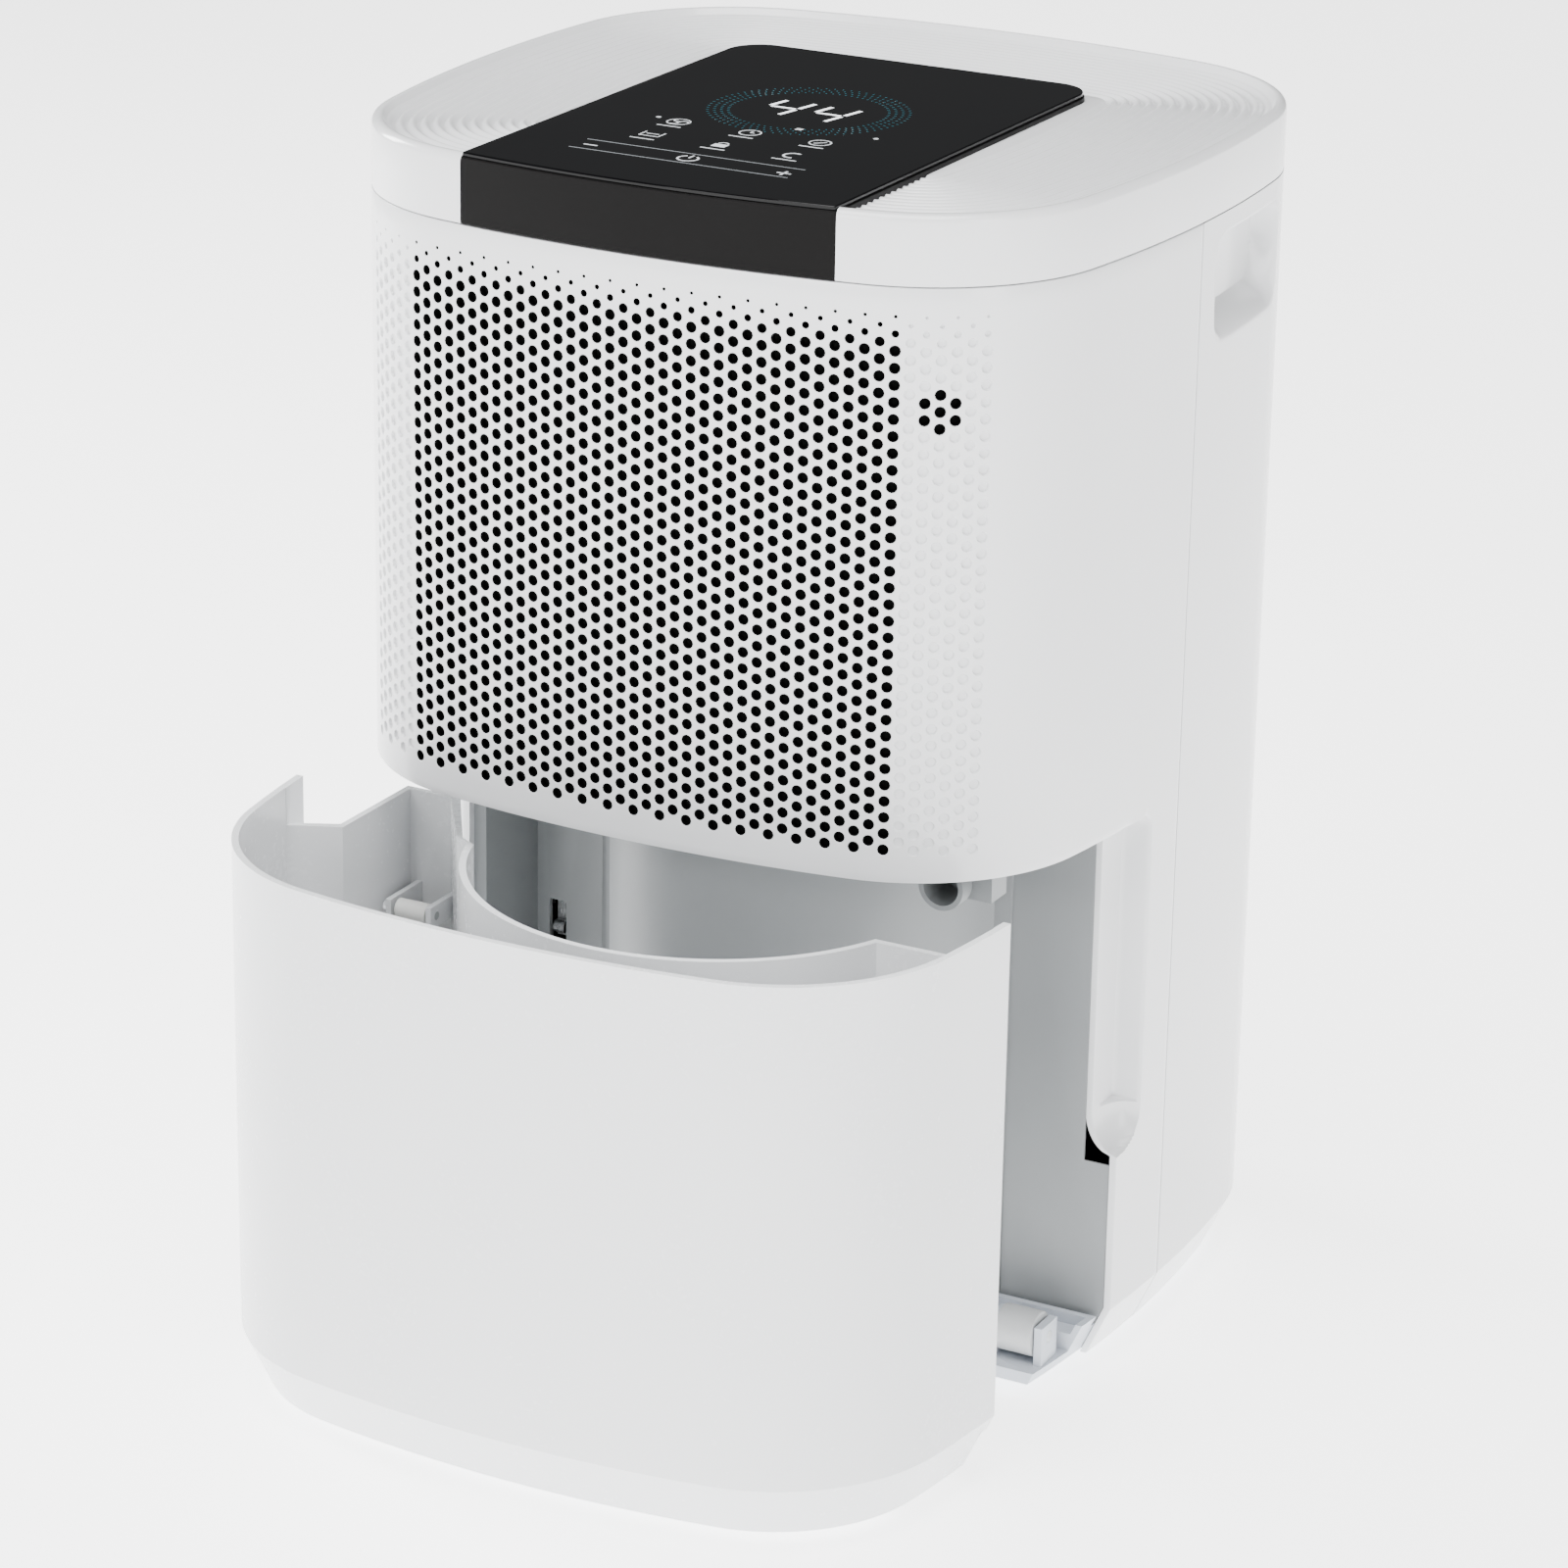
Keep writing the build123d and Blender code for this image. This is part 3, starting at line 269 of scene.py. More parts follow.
@dataclass(frozen=True)
class Finish:
    """A finish: two close colours mixed by a broad mottle, and a fine relief.

    Sizes are in millimetres; tone_size is the width of a patch of tone, and grain_size
    that of the relief's grain.
    """

    name: str
    colour: str
    shade: str
    roughness: Pair = (0.3, 0.4)
    tone_size: float = 35.0
    grain_size: float = 0.8
    relief: float = 0.01
    metallic: float = 0.0
    coat: float = 0.0
    ior: float = 1.5
    specular: float = 0.5
    glow: float = 0.0
    pattern: Pattern = Pattern.GRAIN

    def material(self) -> Material:
        """The finish as a material, made on first use.

        Returns:
            The Blender material.
        """
        found = bpy.data.materials.get(self.name)
        if found is not None:
            return found
        made = bpy.data.materials.new(self.name)
        made.use_nodes = True
        tree = made.node_tree
        tree.nodes.clear()
        place = add_node(tree, "ShaderNodeTexCoord", {}).outputs["Object"]
        tone = add_node(
            tree,
            "ShaderNodeTexNoise",
            {"Vector": place, "Scale": 1 / (self.tone_size * MM), "Detail": 3.0},
        ).outputs["Fac"]
        grain = self._grain(tree, place)
        colour = add_node(
            tree,
            "ShaderNodeMix",
            {"Factor": tone, "6": linear(self.colour), "7": linear(self.shade)},
            data_type="RGBA",
        )
        both = add_node(tree, "ShaderNodeMath", {"0": tone, "1": grain}, operation="ADD")
        rough = add_node(
            tree,
            "ShaderNodeMapRange",
            {
                "Value": both.outputs[0],
                "From Min": 0.6,
                "From Max": 1.4,
                "To Min": self.roughness[0],
                "To Max": self.roughness[1],
            },
        )
        bump = add_node(
            tree,
            "ShaderNodeBump",
            {"Height": grain, "Strength": 1.0, "Distance": self.relief * MM},
        )
        values: dict[str, Any] = {
            "Base Color": colour.outputs[2],
            "Roughness": rough.outputs[0],
            "Normal": bump.outputs[0],
            "Metallic": self.metallic,
            "Specular IOR Level": self.specular,
        }
        if self.metallic < 0.5:
            values["IOR"] = self.ior
        if self.coat > 0:
            values["Coat Weight"] = self.coat
            values["Coat Roughness"] = 0.06
        if self.glow > 0:
            values["Emission Color"] = linear(self.colour)
            values["Emission Strength"] = self.glow
        shader = add_node(tree, "ShaderNodeBsdfPrincipled", values)
        add_node(tree, "ShaderNodeOutputMaterial", {"Surface": shader.outputs[0]})
        return made

    def _grain(self, tree: NodeTree, place: NodeSocket) -> NodeSocket:
        """Adds the fine relief.

        Args:
            tree: Node tree of the material.
            place: Object coordinates.

        Returns:
            Socket with the relief's height, 0 to 1.
        """
        scale = 1 / (self.grain_size * MM)
        if self.pattern is Pattern.WOVEN:
            waves = [
                add_node(
                    tree,
                    "ShaderNodeTexWave",
                    {"Vector": place, "Scale": scale / 6.3, "Distortion": 0.0},
                    bands_direction=axis,
                ).outputs["Fac"]
                for axis in ("X", "Z")
            ]
            mixed = add_node(
                tree, "ShaderNodeMath", {"0": waves[0], "1": waves[1]}, operation="MAXIMUM"
            )
            return mixed.outputs[0]
        if self.pattern is Pattern.BRUSHED:
            place = add_node(
                tree, "ShaderNodeMapping", {"Vector": place, "Scale": (1.0, 1.0, 0.06)}
            ).outputs[0]
        return add_node(
            tree, "ShaderNodeTexNoise", {"Vector": place, "Scale": scale, "Detail": 2.0}
        ).outputs["Fac"]


# Injection-moulded ABS from a polished tool: bright, with a faint long orange peel.
WHITE_ABS = Finish(
    "abs_moulded_gloss_white", "E6E7E8", "E1E2E4", (0.16, 0.24), 60, 3.0, 0.003, coat=0.25
)
# The tank is the same polymer from another tool, slightly less glossy inside.
TANK_ABS = Finish(
    "abs_moulded_tank_white", "E5E6E7", "DFE1E3", (0.2, 0.3), 50, 2.4, 0.004, coat=0.15
)
# Spark-eroded tool surface: a fine, even satin that hides flow marks.
GREY_ABS = Finish("abs_moulded_satin_grey", "8B8E8F", "828587", (0.42, 0.55), 40, 0.7, 0.012)
TRAY_ABS = Finish("abs_moulded_tray_blue_grey", "C9CED6", "BFC5CE", (0.4, 0.52), 40, 0.7, 0.01)
# Dark satin moulding of the panel's surround.
PANEL_ABS = Finish(
    "abs_moulded_satin_black", "0C0B0B", "0A0909", (0.34, 0.46), 30, 0.6, 0.008, specular=0.08
)
# Back-printed acrylic plate: deep black under a hard clear face.
PANEL_GLOSS = Finish(
    "acrylic_back_printed_black", "050506", "070708", (0.04, 0.07), 45, 4.0, 0.0008, specular=0.2
)
DISPLAY = Finish("epoxy_filled_display_block", "19191C", "141416", (0.2, 0.3), 20, 1.0, 0.004)
BOARD = Finish("laminate_solder_masked_green", "1C6A42", "175A38", (0.3, 0.42), 12, 0.6, 0.01)
CAN = Finish(
    "aluminium_drawn_can", "C9CBCC", "BDBFC1", (0.25, 0.4), 20, 0.4, 0.01, 1.0,
    pattern=Pattern.BRUSHED,
)
FINS = Finish(
    "aluminium_stamped_fin_stock", "CFD1D3", "C2C4C7", (0.3, 0.45), 25, 0.5, 0.01, 1.0,
    pattern=Pattern.BRUSHED,
)
COPPER = Finish("copper_drawn_tube", "C77A53", "B56C48", (0.25, 0.42), 18, 0.6, 0.008, 1.0)
ZINC = Finish("steel_zinc_plated", "BFC1C0", "AEB2B3", (0.3, 0.46), 9, 0.5, 0.012, 1.0)
SPRING = Finish(
    "steel_rolled_spring_strip", "C6C7C8", "B7B9BA", (0.22, 0.34), 9, 0.3, 0.008, 1.0,
    pattern=Pattern.BRUSHED,
)
BLACK_PAINT = Finish("steel_painted_black", "161617", "1C1C1E", (0.3, 0.42), 30, 1.6, 0.01)
GREY_PAINT = Finish("steel_painted_grey", "55575A", "4C4E51", (0.35, 0.5), 25, 1.4, 0.01)
FAN_PLASTIC = Finish("polypropylene_moulded_black", "252628", "1E1F21", (0.4, 0.55), 25, 0.8, 0.01)
NYLON = Finish("nylon_moulded_natural", "C3C5C6", "B7B9BA", (0.36, 0.5), 10, 0.6, 0.01)
BLACK_RUBBER = Finish("rubber_moulded_black", "1D1D1E", "242425", (0.6, 0.8), 12, 0.5, 0.02)
GREY_RUBBER = Finish("silicone_moulded_grey", "9A9C9E", "8F9193", (0.5, 0.68), 12, 0.5, 0.015)
FLOAT = Finish("polypropylene_moulded_natural", "E9E9E5", "DEDEDA", (0.4, 0.55), 15, 0.8, 0.01)
MESH = Finish(
    "nylon_woven_dust_mesh", "4A4D50", "3C3F42", (0.6, 0.8), 20, 1.2, 0.3,
    pattern=Pattern.WOVEN,
)
# Painted shade: matt black on the inner walls of the holes and on a sheet behind the grille,
# standing in for the shade that keeps the holes dark.
HOLE_SHADE_PAINT = Finish("painted_shade_black_hole_lining", "060606", "090909", (0.8, 0.95), 15, 0.7, 0.02, specular=0.1)
# Light that shines through the plate's printed windows.
DIGIT_LIGHT = Finish("led_light_white", "F4F6F8", "E6EAEE", (0.3, 0.4), 8, 0.5, 0.002, glow=1.4)
HALO_LIGHT = Finish("led_light_teal", "1F5560", "184852", (0.3, 0.4), 8, 0.5, 0.002, glow=0.35)
# Screen-printed symbols: pale ink, slightly matt; the glow on it is painted light that brightens
# the print.
PALE_PRINT_PAINTED_GLOW = Finish(
    "ink_screen_printed_pale_painted_glow", "C9CCCF", "BBBFC3", (0.45, 0.6), 6, 0.4, 0.006, glow=0.45
)
# Screen-printed rules: grey ink; the glow on it is painted light that brightens the print.
GREY_PRINT_PAINTED_GLOW = Finish(
    "ink_screen_printed_grey_painted_glow", "8A8E92", "7E8286", (0.45, 0.6), 6, 0.4, 0.006, glow=0.3
)
FLOOR = Finish(
    "studio_floor_painted_white", "F7F7F7", "F3F3F3", (0.75, 0.9), 400, 8, 0.02, glow=3.2
)

SLOTS: dict[str, Finish] = {
    "white_abs": WHITE_ABS,
    "tank_abs": TANK_ABS,
    "grey_abs": GREY_ABS,
    "tray_abs": TRAY_ABS,
    "panel_abs": PANEL_ABS,
    "panel_gloss": PANEL_GLOSS,
    "display_block": DISPLAY,
    "circuit_board": BOARD,
    "capacitor_can": CAN,
    "fin_aluminium": FINS,
    "copper_tube": COPPER,
    "zinc_steel": ZINC,
    "spring_steel": SPRING,
    "compressor_paint": BLACK_PAINT,
    "motor_paint": GREY_PAINT,
    "fan_plastic": FAN_PLASTIC,
    "roller_nylon": NYLON,
    "black_rubber": BLACK_RUBBER,
    "grey_rubber": GREY_RUBBER,
    "float_foam": FLOAT,
    "mesh_nylon": MESH,
}


# ---- mesh helpers -------------------------------------------------------------------
def as_mesh(name: str, bm: BMesh) -> Mesh:
    """Turns a bmesh into a mesh and frees it.

    Args:
        name: Name of the mesh.
        bm: The bmesh.

    Returns:
        The mesh.
    """
    mesh = bpy.data.meshes.new(name)
    bm.to_mesh(mesh)
    bm.free()
    return mesh


def linked(name: str, data: ID) -> Object:
    """Puts data into the scene as a new object.

    Args:
        name: Name of the object.
        data: Mesh, light or camera.

    Returns:
        The object.
    """
    thing = bpy.data.objects.new(name, data)
    bpy.context.scene.collection.objects.link(thing)
    return thing


def make_piece(
    name: str,
    bm: BMesh,
    slot: str,
    body: str,
    finish: Finish | None = None,
    sharp: float = SHARP,
) -> Object:
    """Turns a mesh in millimetres into a riding, dressed piece.

    Args:
        name: Name of the piece.
        bm: Mesh in millimetres; it is freed.
        slot: Material slot of the record.
        body: Body that the piece rides on.
        finish: Finish, or None for the slot's own.
        sharp: Edges that turn more than this stay sharp.

    Returns:
        The new object.
    """
    bmesh.ops.recalc_face_normals(bm, faces=bm.faces)
    bm.transform(Matrix.Scale(MM, 4))
    mesh = as_mesh(name, bm)
    mesh.shade_smooth()
    mesh.set_sharp_from_angle(angle=sharp)
    mesh.materials.append((finish or SLOTS[slot]).material())
    piece = linked(name, mesh)
    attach(piece, body)
    return piece


def merge(bm: BMesh, distance: float = 1e-3) -> None:
    """Joins vertices that lie on each other.

    Args:
        bm: The mesh.
        distance: Greatest distance joined.
    """
    bmesh.ops.remove_doubles(bm, verts=bm.verts, dist=distance)


def edge_round(bm: BMesh, edges: Iterable[BMEdge], width: float, steps: int = 2) -> None:
    """Rounds edges.

    Args:
        bm: The mesh.
        edges: Edges to round.
        width: Width of the rounding.
        steps: Segments across it.
    """
    bmesh.ops.bevel(
        bm, geom=list(edges), offset=width, offset_type="OFFSET", segments=steps,
        profile=0.5, affect="EDGES", material=-1, clamp_overlap=True,
    )


def refine(name: str, node: str, width: float, steps: int = 2) -> Object:
    """Stands a cleaned copy with rounded edges in place of a CAD node.

    Args:
        name: Name of the piece.
        node: CAD node that it stands for.
        width: Width of the rounding in millimetres.
        steps: Segments across it.

    Returns:
        The new object.
    """
    source = frame["nodes"][node]
    bm = bmesh.new()
    bm.from_mesh(source.data)
    bmesh.ops.remove_doubles(bm, verts=bm.verts, dist=1e-6)
    bmesh.ops.dissolve_limit(
        bm, angle_limit=math.radians(0.4), verts=bm.verts, edges=bm.edges, delimit=set()
    )
    bm.transform(Matrix.Scale(1 / MM, 4))
    piece = make_piece(name, bm, SLOT_OF[node], BODY_OF[node])
    bevel = piece.modifiers.new("rounding", "BEVEL")
    bevel.width = width * MM
    bevel.segments = steps
    bevel.limit_method = "ANGLE"
    bevel.angle_limit = math.radians(35)
    bevel.profile = 0.5
    bevel.use_clamp_overlap = True
    bevel.harden_normals = True
    bevel.miter_outer = "MITER_ARC"
    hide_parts(node)
    return piece


SLOT_OF = {row["node"]: row["material_slot"] for row in frame["record"]["subparts"]}
BODY_OF = {
    node: body
    for body, nodes in frame["record"]["behaviour"]["bodies"].items()
    for node in nodes
}


def smooth_step(t: float) -> float:
    """Soft ramp from 0 to 1."""
    t = min(1.0, max(0.0, t))
    return t * t * (3 - 2 * t)


def corner_distance(a: float, b: float, radius: float) -> float:
    """Distance inside a rounded corner between two straight borders.

    Args:
        a: Distance inside the first border.
        b: Distance inside the second border.
        radius: Radius of the corner.

    Returns:
        Distance inside the rounded border, negative outside.
    """
    if a < radius and b < radius:
        return radius - math.hypot(radius - a, radius - b)
    return min(a, b)


def foot_inset(z: float) -> float:
    """Inward lean of the slanted foot at a height."""
    return CHAMFER_IN * max(0.0, (BASE_Z + CHAMFER_H - z) / CHAMFER_H)


def grid_patch(
    bm: BMesh, s_lines: Sequence[float], z_lines: Sequence[float], depth: float
) -> None:
    """Adds a rectangular grid in flat wall coordinates (s, depth, z).

    Args:
        bm: The mesh.
        s_lines: Rising lengths along the wall.
        z_lines: Rising heights.
        depth: Depth below the outer surface.
    """
    start = len(bm.verts)
    ns, nz = len(s_lines), len(z_lines)
    bmesh.ops.create_grid(bm, x_segments=ns - 1, y_segments=nz - 1, size=0.5)
    bm.verts.ensure_lookup_table()
    for v in bm.verts[start:]:
        i = round((v.co.x + 0.5) * (ns - 1))
        j = round((v.co.y + 0.5) * (nz - 1))
        v.co = (s_lines[i], depth, z_lines[j])


def spaced(low: float, high: float, step: float) -> list[float]:
    """Even lines from low to high, about a step apart, both ends included."""
    count = max(1, round((high - low) / step))
    return [low + (high - low) * k / count for k in range(count + 1)]


def joined(*runs: Sequence[float]) -> list[float]:
    """Sorted lines of several runs, without repeats."""
    lines: list[float] = []
    for value in sorted(v for run in runs for v in run):
        if not lines or value - lines[-1] > 1e-4:
            lines.append(value)
    return lines


def foot_lines() -> list[float]:
    """Heights of the mesh lines across the slanted foot, close at its upper bend."""
    low, bend_low, bend_high = BASE_Z + 1.0, BASE_Z + CHAMFER_H - 1.2, BASE_Z + CHAMFER_H + 1.2
    return joined([BASE_Z], spaced(low, bend_low, 4.0), spaced(bend_low, bend_high, 0.6))


def bend(bm: BMesh, pocket: Callable[[float, float, float], float]) -> None:
    """Wraps a mesh in wall coordinates round the plan.

    Args:
        bm: Mesh with s in x, depth in y, height in z.
        pocket: Extra depth for a plan x, plan y and height.
    """
    for v in bm.verts:
        s, depth, z = v.co
        x, y = PLAN.at(s)
        inset = depth + pocket(x, y, z) + foot_inset(z)
        x, y = PLAN.at(s, inset)
        v.co = (x, y, z)


# ---- front casing -------------------------------------------------------------------
class Hole(Enum):
    """What a cell of the front pattern holds."""

    OPEN = "open"
    DIMPLE = "dimple"


@dataclass
class FrontCasing:
    """Perforated front shell with side walls down to the base and two finger recesses."""

    row_pitch: float = 5.5
    column_pitch: float = 4.85
    hole_d: float = 3.76
    graded_d: tuple[float, ...] = (1.1, 1.65, 2.4, 3.3)
    top_row_z: float = 387.2
    open_columns: int = 18
    all_columns: int = 24
    rows: int = 33
    rim: float = 0.2
    dimple_depth: float = 0.8
    dimple_draft: float = 0.35
    sides: int = 12
    sensor: tuple[tuple[int, float], ...] = (
        (20, 5.0), (20, 6.0), (21, 4.5), (21, 5.5), (21, 6.5), (22, 5.0), (22, 6.0),
    )
    recess_back_y: float = -19.0
    recess_depth: float = 10.0
    recess_low_z: float = 95.0
    recess_drop: float = 15.0
    recess_corner: float = 6.0
    recess_fillet: float = 2.6
    opening_round: float = 0.45
    # Black sheet behind the holes, painted shade: its heights, its gap behind the wall and its
    # thickness.
    shade_sheet_z: Pair = (206.0, 394.0)
    shade_sheet_gap: float = 0.6
    shade_sheet_t: float = 0.4
    web_gap: float = 0.6
    web_drop: float = 4.6
    web_t: float = 1.0

    def cell(self, kind: Hole, d: float) -> Mesh:
        """One cell of the pattern, centred, as a mesh to be repeated.

        Args:
            kind: Open hole or blind dimple.
            d: Diameter.

        Returns:
            The mesh, in wall coordinates.
        """
        bm = bmesh.new()
        w, h = self.column_pitch / 2, self.row_pitch / 2
        inner = d / 2 if kind is Hole.OPEN else d / 2 - self.dimple_draft
        outer = d / 2 + self.rim if kind is Hole.OPEN else d / 2
        lip = self.rim if kind is Hole.OPEN else self.dimple_depth
        to_wall = Matrix.Rotation(math.radians(90), 3, "X")

        def square(depth: float) -> list[BMEdge]:
            """Border of the cell, with a vertex in the middle of each upright side."""
            made = bmesh.ops.create_grid(bm, x_segments=1, y_segments=2, size=1.0)["verts"]
            filled = [f for f in bm.faces if f.verts[0] in made]
            bmesh.ops.delete(bm, geom=filled, context="FACES_KEEP_BOUNDARY")
            edges = [e for e in bm.edges if e.verts[0] in made and e.verts[1] in made]
            cross = [e for e in edges if abs(e.verts[0].co.y) < 0.1 and abs(e.verts[1].co.y) < 0.1]
            bmesh.ops.delete(bm, geom=cross, context="EDGES")
            for v in made:
                v.co = (v.co.x * w, depth, v.co.y * h)
            return [e for e in edges if e.is_valid]

        def ring(radius: float, depth: float) -> list[BMEdge]:
            """Circle of the hole at a depth."""
            made = bmesh.ops.create_circle(bm, segments=self.sides, radius=radius)["verts"]
            bmesh.ops.rotate(bm, verts=made, cent=(0, 0, 0), matrix=to_wall)
            bmesh.ops.translate(bm, verts=made, vec=(0, depth, 0))
            return list({e for v in made for e in v.link_edges})

        def bridge(a: list[BMEdge], b: list[BMEdge]) -> None:
            """Joins two loops with faces."""
            bmesh.ops.bridge_loops(bm, edges=a + b)

        mouth = ring(outer, 0.0)
        bridge(square(0.0), mouth)
        throat = ring(inner, lip)
        bridge(mouth, throat)
        if kind is Hole.OPEN:
            end = ring(inner, WALL)
            bridge(throat, end)
            bridge(end, square(WALL))
        else:
            bmesh.ops.contextual_create(bm, geom=throat)
            bmesh.ops.contextual_create(bm, geom=square(WALL))
        return as_mesh("cell", bm)

    def kind_at(self, column: int, step: float) -> tuple[Hole, float]:
        """What a cell holds.

        Args:
            column: Column, 0 in the middle.
            step: Pitches down from the top row.

        Returns:
            The kind and the diameter.
        """
        grade = round(2 * step)
        d = self.graded_d[grade] if grade < len(self.graded_d) else self.hole_d
        is_open = abs(column) <= self.open_columns or (column, step) in self.sensor
        return (Hole.OPEN if is_open else Hole.DIMPLE), d

    def pattern(self, bm: BMesh) -> None:
        """Lays every cell of the pattern and the half cells at its ends."""
        cells: dict[tuple[Hole, float], Mesh] = {}
        half = self.row_pitch / 2
        top, bottom = self.top_row_z + half, self.top_row_z - self.rows * self.row_pitch + half
        for column in range(-self.all_columns, self.all_columns + 1):
            odd = column % 2
            s = column * self.column_pitch
            for row in range(self.rows - odd):
                step = row + 0.5 * odd
                key = self.kind_at(column, step)
                if key not in cells:
                    cells[key] = self.cell(*key)
                start = len(bm.verts)
                bm.from_mesh(cells[key])
                bm.verts.ensure_lookup_table()
                bmesh.ops.translate(
                    bm, verts=bm.verts[start:], vec=(s, 0, self.top_row_z - step * self.row_pitch)
                )
            if odd:
                ends = (s - self.column_pitch / 2, s + self.column_pitch / 2)
                for depth in (0.0, WALL):
                    grid_patch(bm, ends, (top - half, top), depth)
                    grid_patch(bm, ends, (bottom, bottom + half), depth)
        for mesh in cells.values():
            bpy.data.meshes.remove(mesh)

    def recess(self, x: float, y: float, z: float) -> float:
        """Depth of the finger recess.

        Args:
            x: Plan x, not used.
            y: Plan y.
            z: Height.

        Returns:
            Extra depth in millimetres.
        """
        if z >= FOOT_Z or y > self.recess_back_y or y < OPENING_Y - 1:
            return 0.0
        t = corner_distance(self.recess_back_y - y, FOOT_Z - z, self.recess_corner)
        if z < self.recess_low_z:
            breadth = self.recess_back_y - OPENING_Y
            across = (y - OPENING_Y) / breadth
            down = (self.recess_low_z - z) / self.recess_drop
            rho = math.hypot(across, down)
            if rho >= 1:
                return 0.0
            dish = math.sqrt(1 - rho * rho)
            wall = smooth_step((1 - across) * breadth / self.recess_fillet)
            return self.recess_depth * dish * max(wall, dish)
        return self.recess_depth * smooth_step(t / self.recess_fillet)

    def build(self) -> Object:
        """Builds and dresses the front shell.

        Returns:
            The piece.
        """
        bm = bmesh.new()
        self.pattern(bm)
        half = self.row_pitch / 2
        top = self.top_row_z + half
        bottom = self.top_row_z - self.rows * self.row_pitch + half
        seam = SEAM_Z - GAP / 2
        edge = (self.all_columns + 0.5) * self.column_pitch
        columns = [
            (k - 0.5) * self.column_pitch for k in range(-self.all_columns, self.all_columns + 2)
        ]
        foot_rows = spaced(FOOT_Z, bottom, half)
        mid_rows = [bottom + half * k for k in range(2 * self.rows + 1)]
        side_s = joined(
            spaced(edge, S_OPENING, 2.5),
            [PLAN.s_at_y(OPENING_Y + 0.5), PLAN.s_at_y(OPENING_Y + 1.2)],
            [PLAN.s_at_y(y) for y in spaced(OPENING_Y + 2, -23.0, 1.5)],
            [PLAN.s_at_y(y) for y in spaced(-23.0, -18.5, 0.3)],
            [PLAN.s_at_y(y) for y in spaced(-18.5, -GAP / 2, 2.5)],
        )
        lower_s = [s for s in side_s if s >= S_OPENING - 1e-3]
        low_z = joined(
            foot_lines(),
            spaced(BASE_Z + CHAMFER_H + 1.2, 79.0, 5.0),
            spaced(79.0, 84.0, 0.35),
            spaced(84.0, 97.0, 0.8),
            spaced(97.0, 190.0, 5.0),
            spaced(190.0, 196.0, 1.0),
            spaced(196.0, FOOT_Z, 0.3),
        )
        for depth in (0.0, WALL):
            grid_patch(bm, columns, foot_rows, depth)
            grid_patch(bm, columns, (top, seam), depth)
            for side in (-1, 1):
                run = side_s if side > 0 else [-s for s in reversed(side_s)]
                low = lower_s if side > 0 else [-s for s in reversed(lower_s)]
                grid_patch(bm, run, joined(foot_rows, mid_rows, (top, seam)), depth)
                grid_patch(bm, low, low_z, depth)
        merge(bm)
        # Painted shade: the hole walls and the back of the grille take the second, black material
        # in place of the shade inside the holes.
        for f in bm.faces:
            depths = [v.co.y for v in f.verts]
            if max(depths) > WALL - 0.01 and min(depths) > self.rim - 0.01:
                f.material_index = int(abs(f.calc_center_median().x) < edge)
        border = [e for e in bm.edges if e.is_boundary and all(v.co.y < 0.1 for v in e.verts)]
        grown = bmesh.ops.extrude_edge_only(bm, edges=border)["geom"]
        verts = [g for g in grown if isinstance(g, BMVert)]
        bmesh.ops.translate(bm, verts=verts, vec=(0, WALL, 0))
        merge(bm)
        rims = [
            e for e in bm.edges
            if len(e.link_faces) == 2
            and all(v.co.y < 0.01 for v in e.verts)
            and any(all(v.co.y < 0.01 for v in f.verts) for f in e.link_faces)
            and any(any(v.co.y > WALL - 0.01 for v in f.verts) for f in e.link_faces)
        ]
        edge_round(bm, rims, self.opening_round)
        bend(bm, self.recess)
        piece = make_piece("front_shell", bm, "white_abs", "casing")
        # Second material: the black painted shade of the hole walls and the grille's back.
        piece.data.materials.append(HOLE_SHADE_PAINT.material())
        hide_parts("front_casing")
        return piece

    def web(self) -> Object:
        """Closes the corner between each dish and the bay wall.

        Returns:
            The piece.
        """
        bm = bmesh.new()
        reach = self.recess_depth + WALL + self.web_gap
        low = self.recess_low_z - self.recess_drop - self.web_drop
        for side in (-1, 1):
            made = bmesh.ops.create_grid(bm, x_segments=16, y_segments=1, size=1.0)["verts"]
            for v in made:
                t = (v.co.x + 1) / 2
                a = math.radians(90 * t)
                if v.co.y < 0:
                    depth = self.recess_depth * math.cos(a) + WALL / 2
                    z = self.recess_low_z - (self.recess_drop + WALL / 2) * math.sin(a)
                else:
                    depth = reach * min(1.0, 2 - 2 * t)
                    z = max(low, self.recess_low_z - 2 * t * (self.recess_low_z - low))
                x, _ = PLAN.at(S_OPENING + 1.0, depth)
                v.co = (side * x, OPENING_Y + 1.2, z)
        bmesh.ops.solidify(bm, geom=list(bm.faces), thickness=self.web_t)
        return make_piece("dish_webs", bm, "grey_abs", "casing")

    def painted_shade_sheet(self) -> Object:
        """Builds a black sheet behind the holes, painted shade that keeps them dark.

        Returns:
            The piece.
        """
        bm = bmesh.new()
        edge = (self.all_columns + 0.5) * self.column_pitch
        grid_patch(bm, spaced(-edge, edge, 4.0), self.shade_sheet_z, WALL + self.shade_sheet_gap)
        bend(bm, lambda x, y, z: 0.0)
        bmesh.ops.solidify(bm, geom=list(bm.faces), thickness=self.shade_sheet_t)
        return make_piece("grille_painted_shade_sheet", bm, "mesh_nylon", "casing", HOLE_SHADE_PAINT)


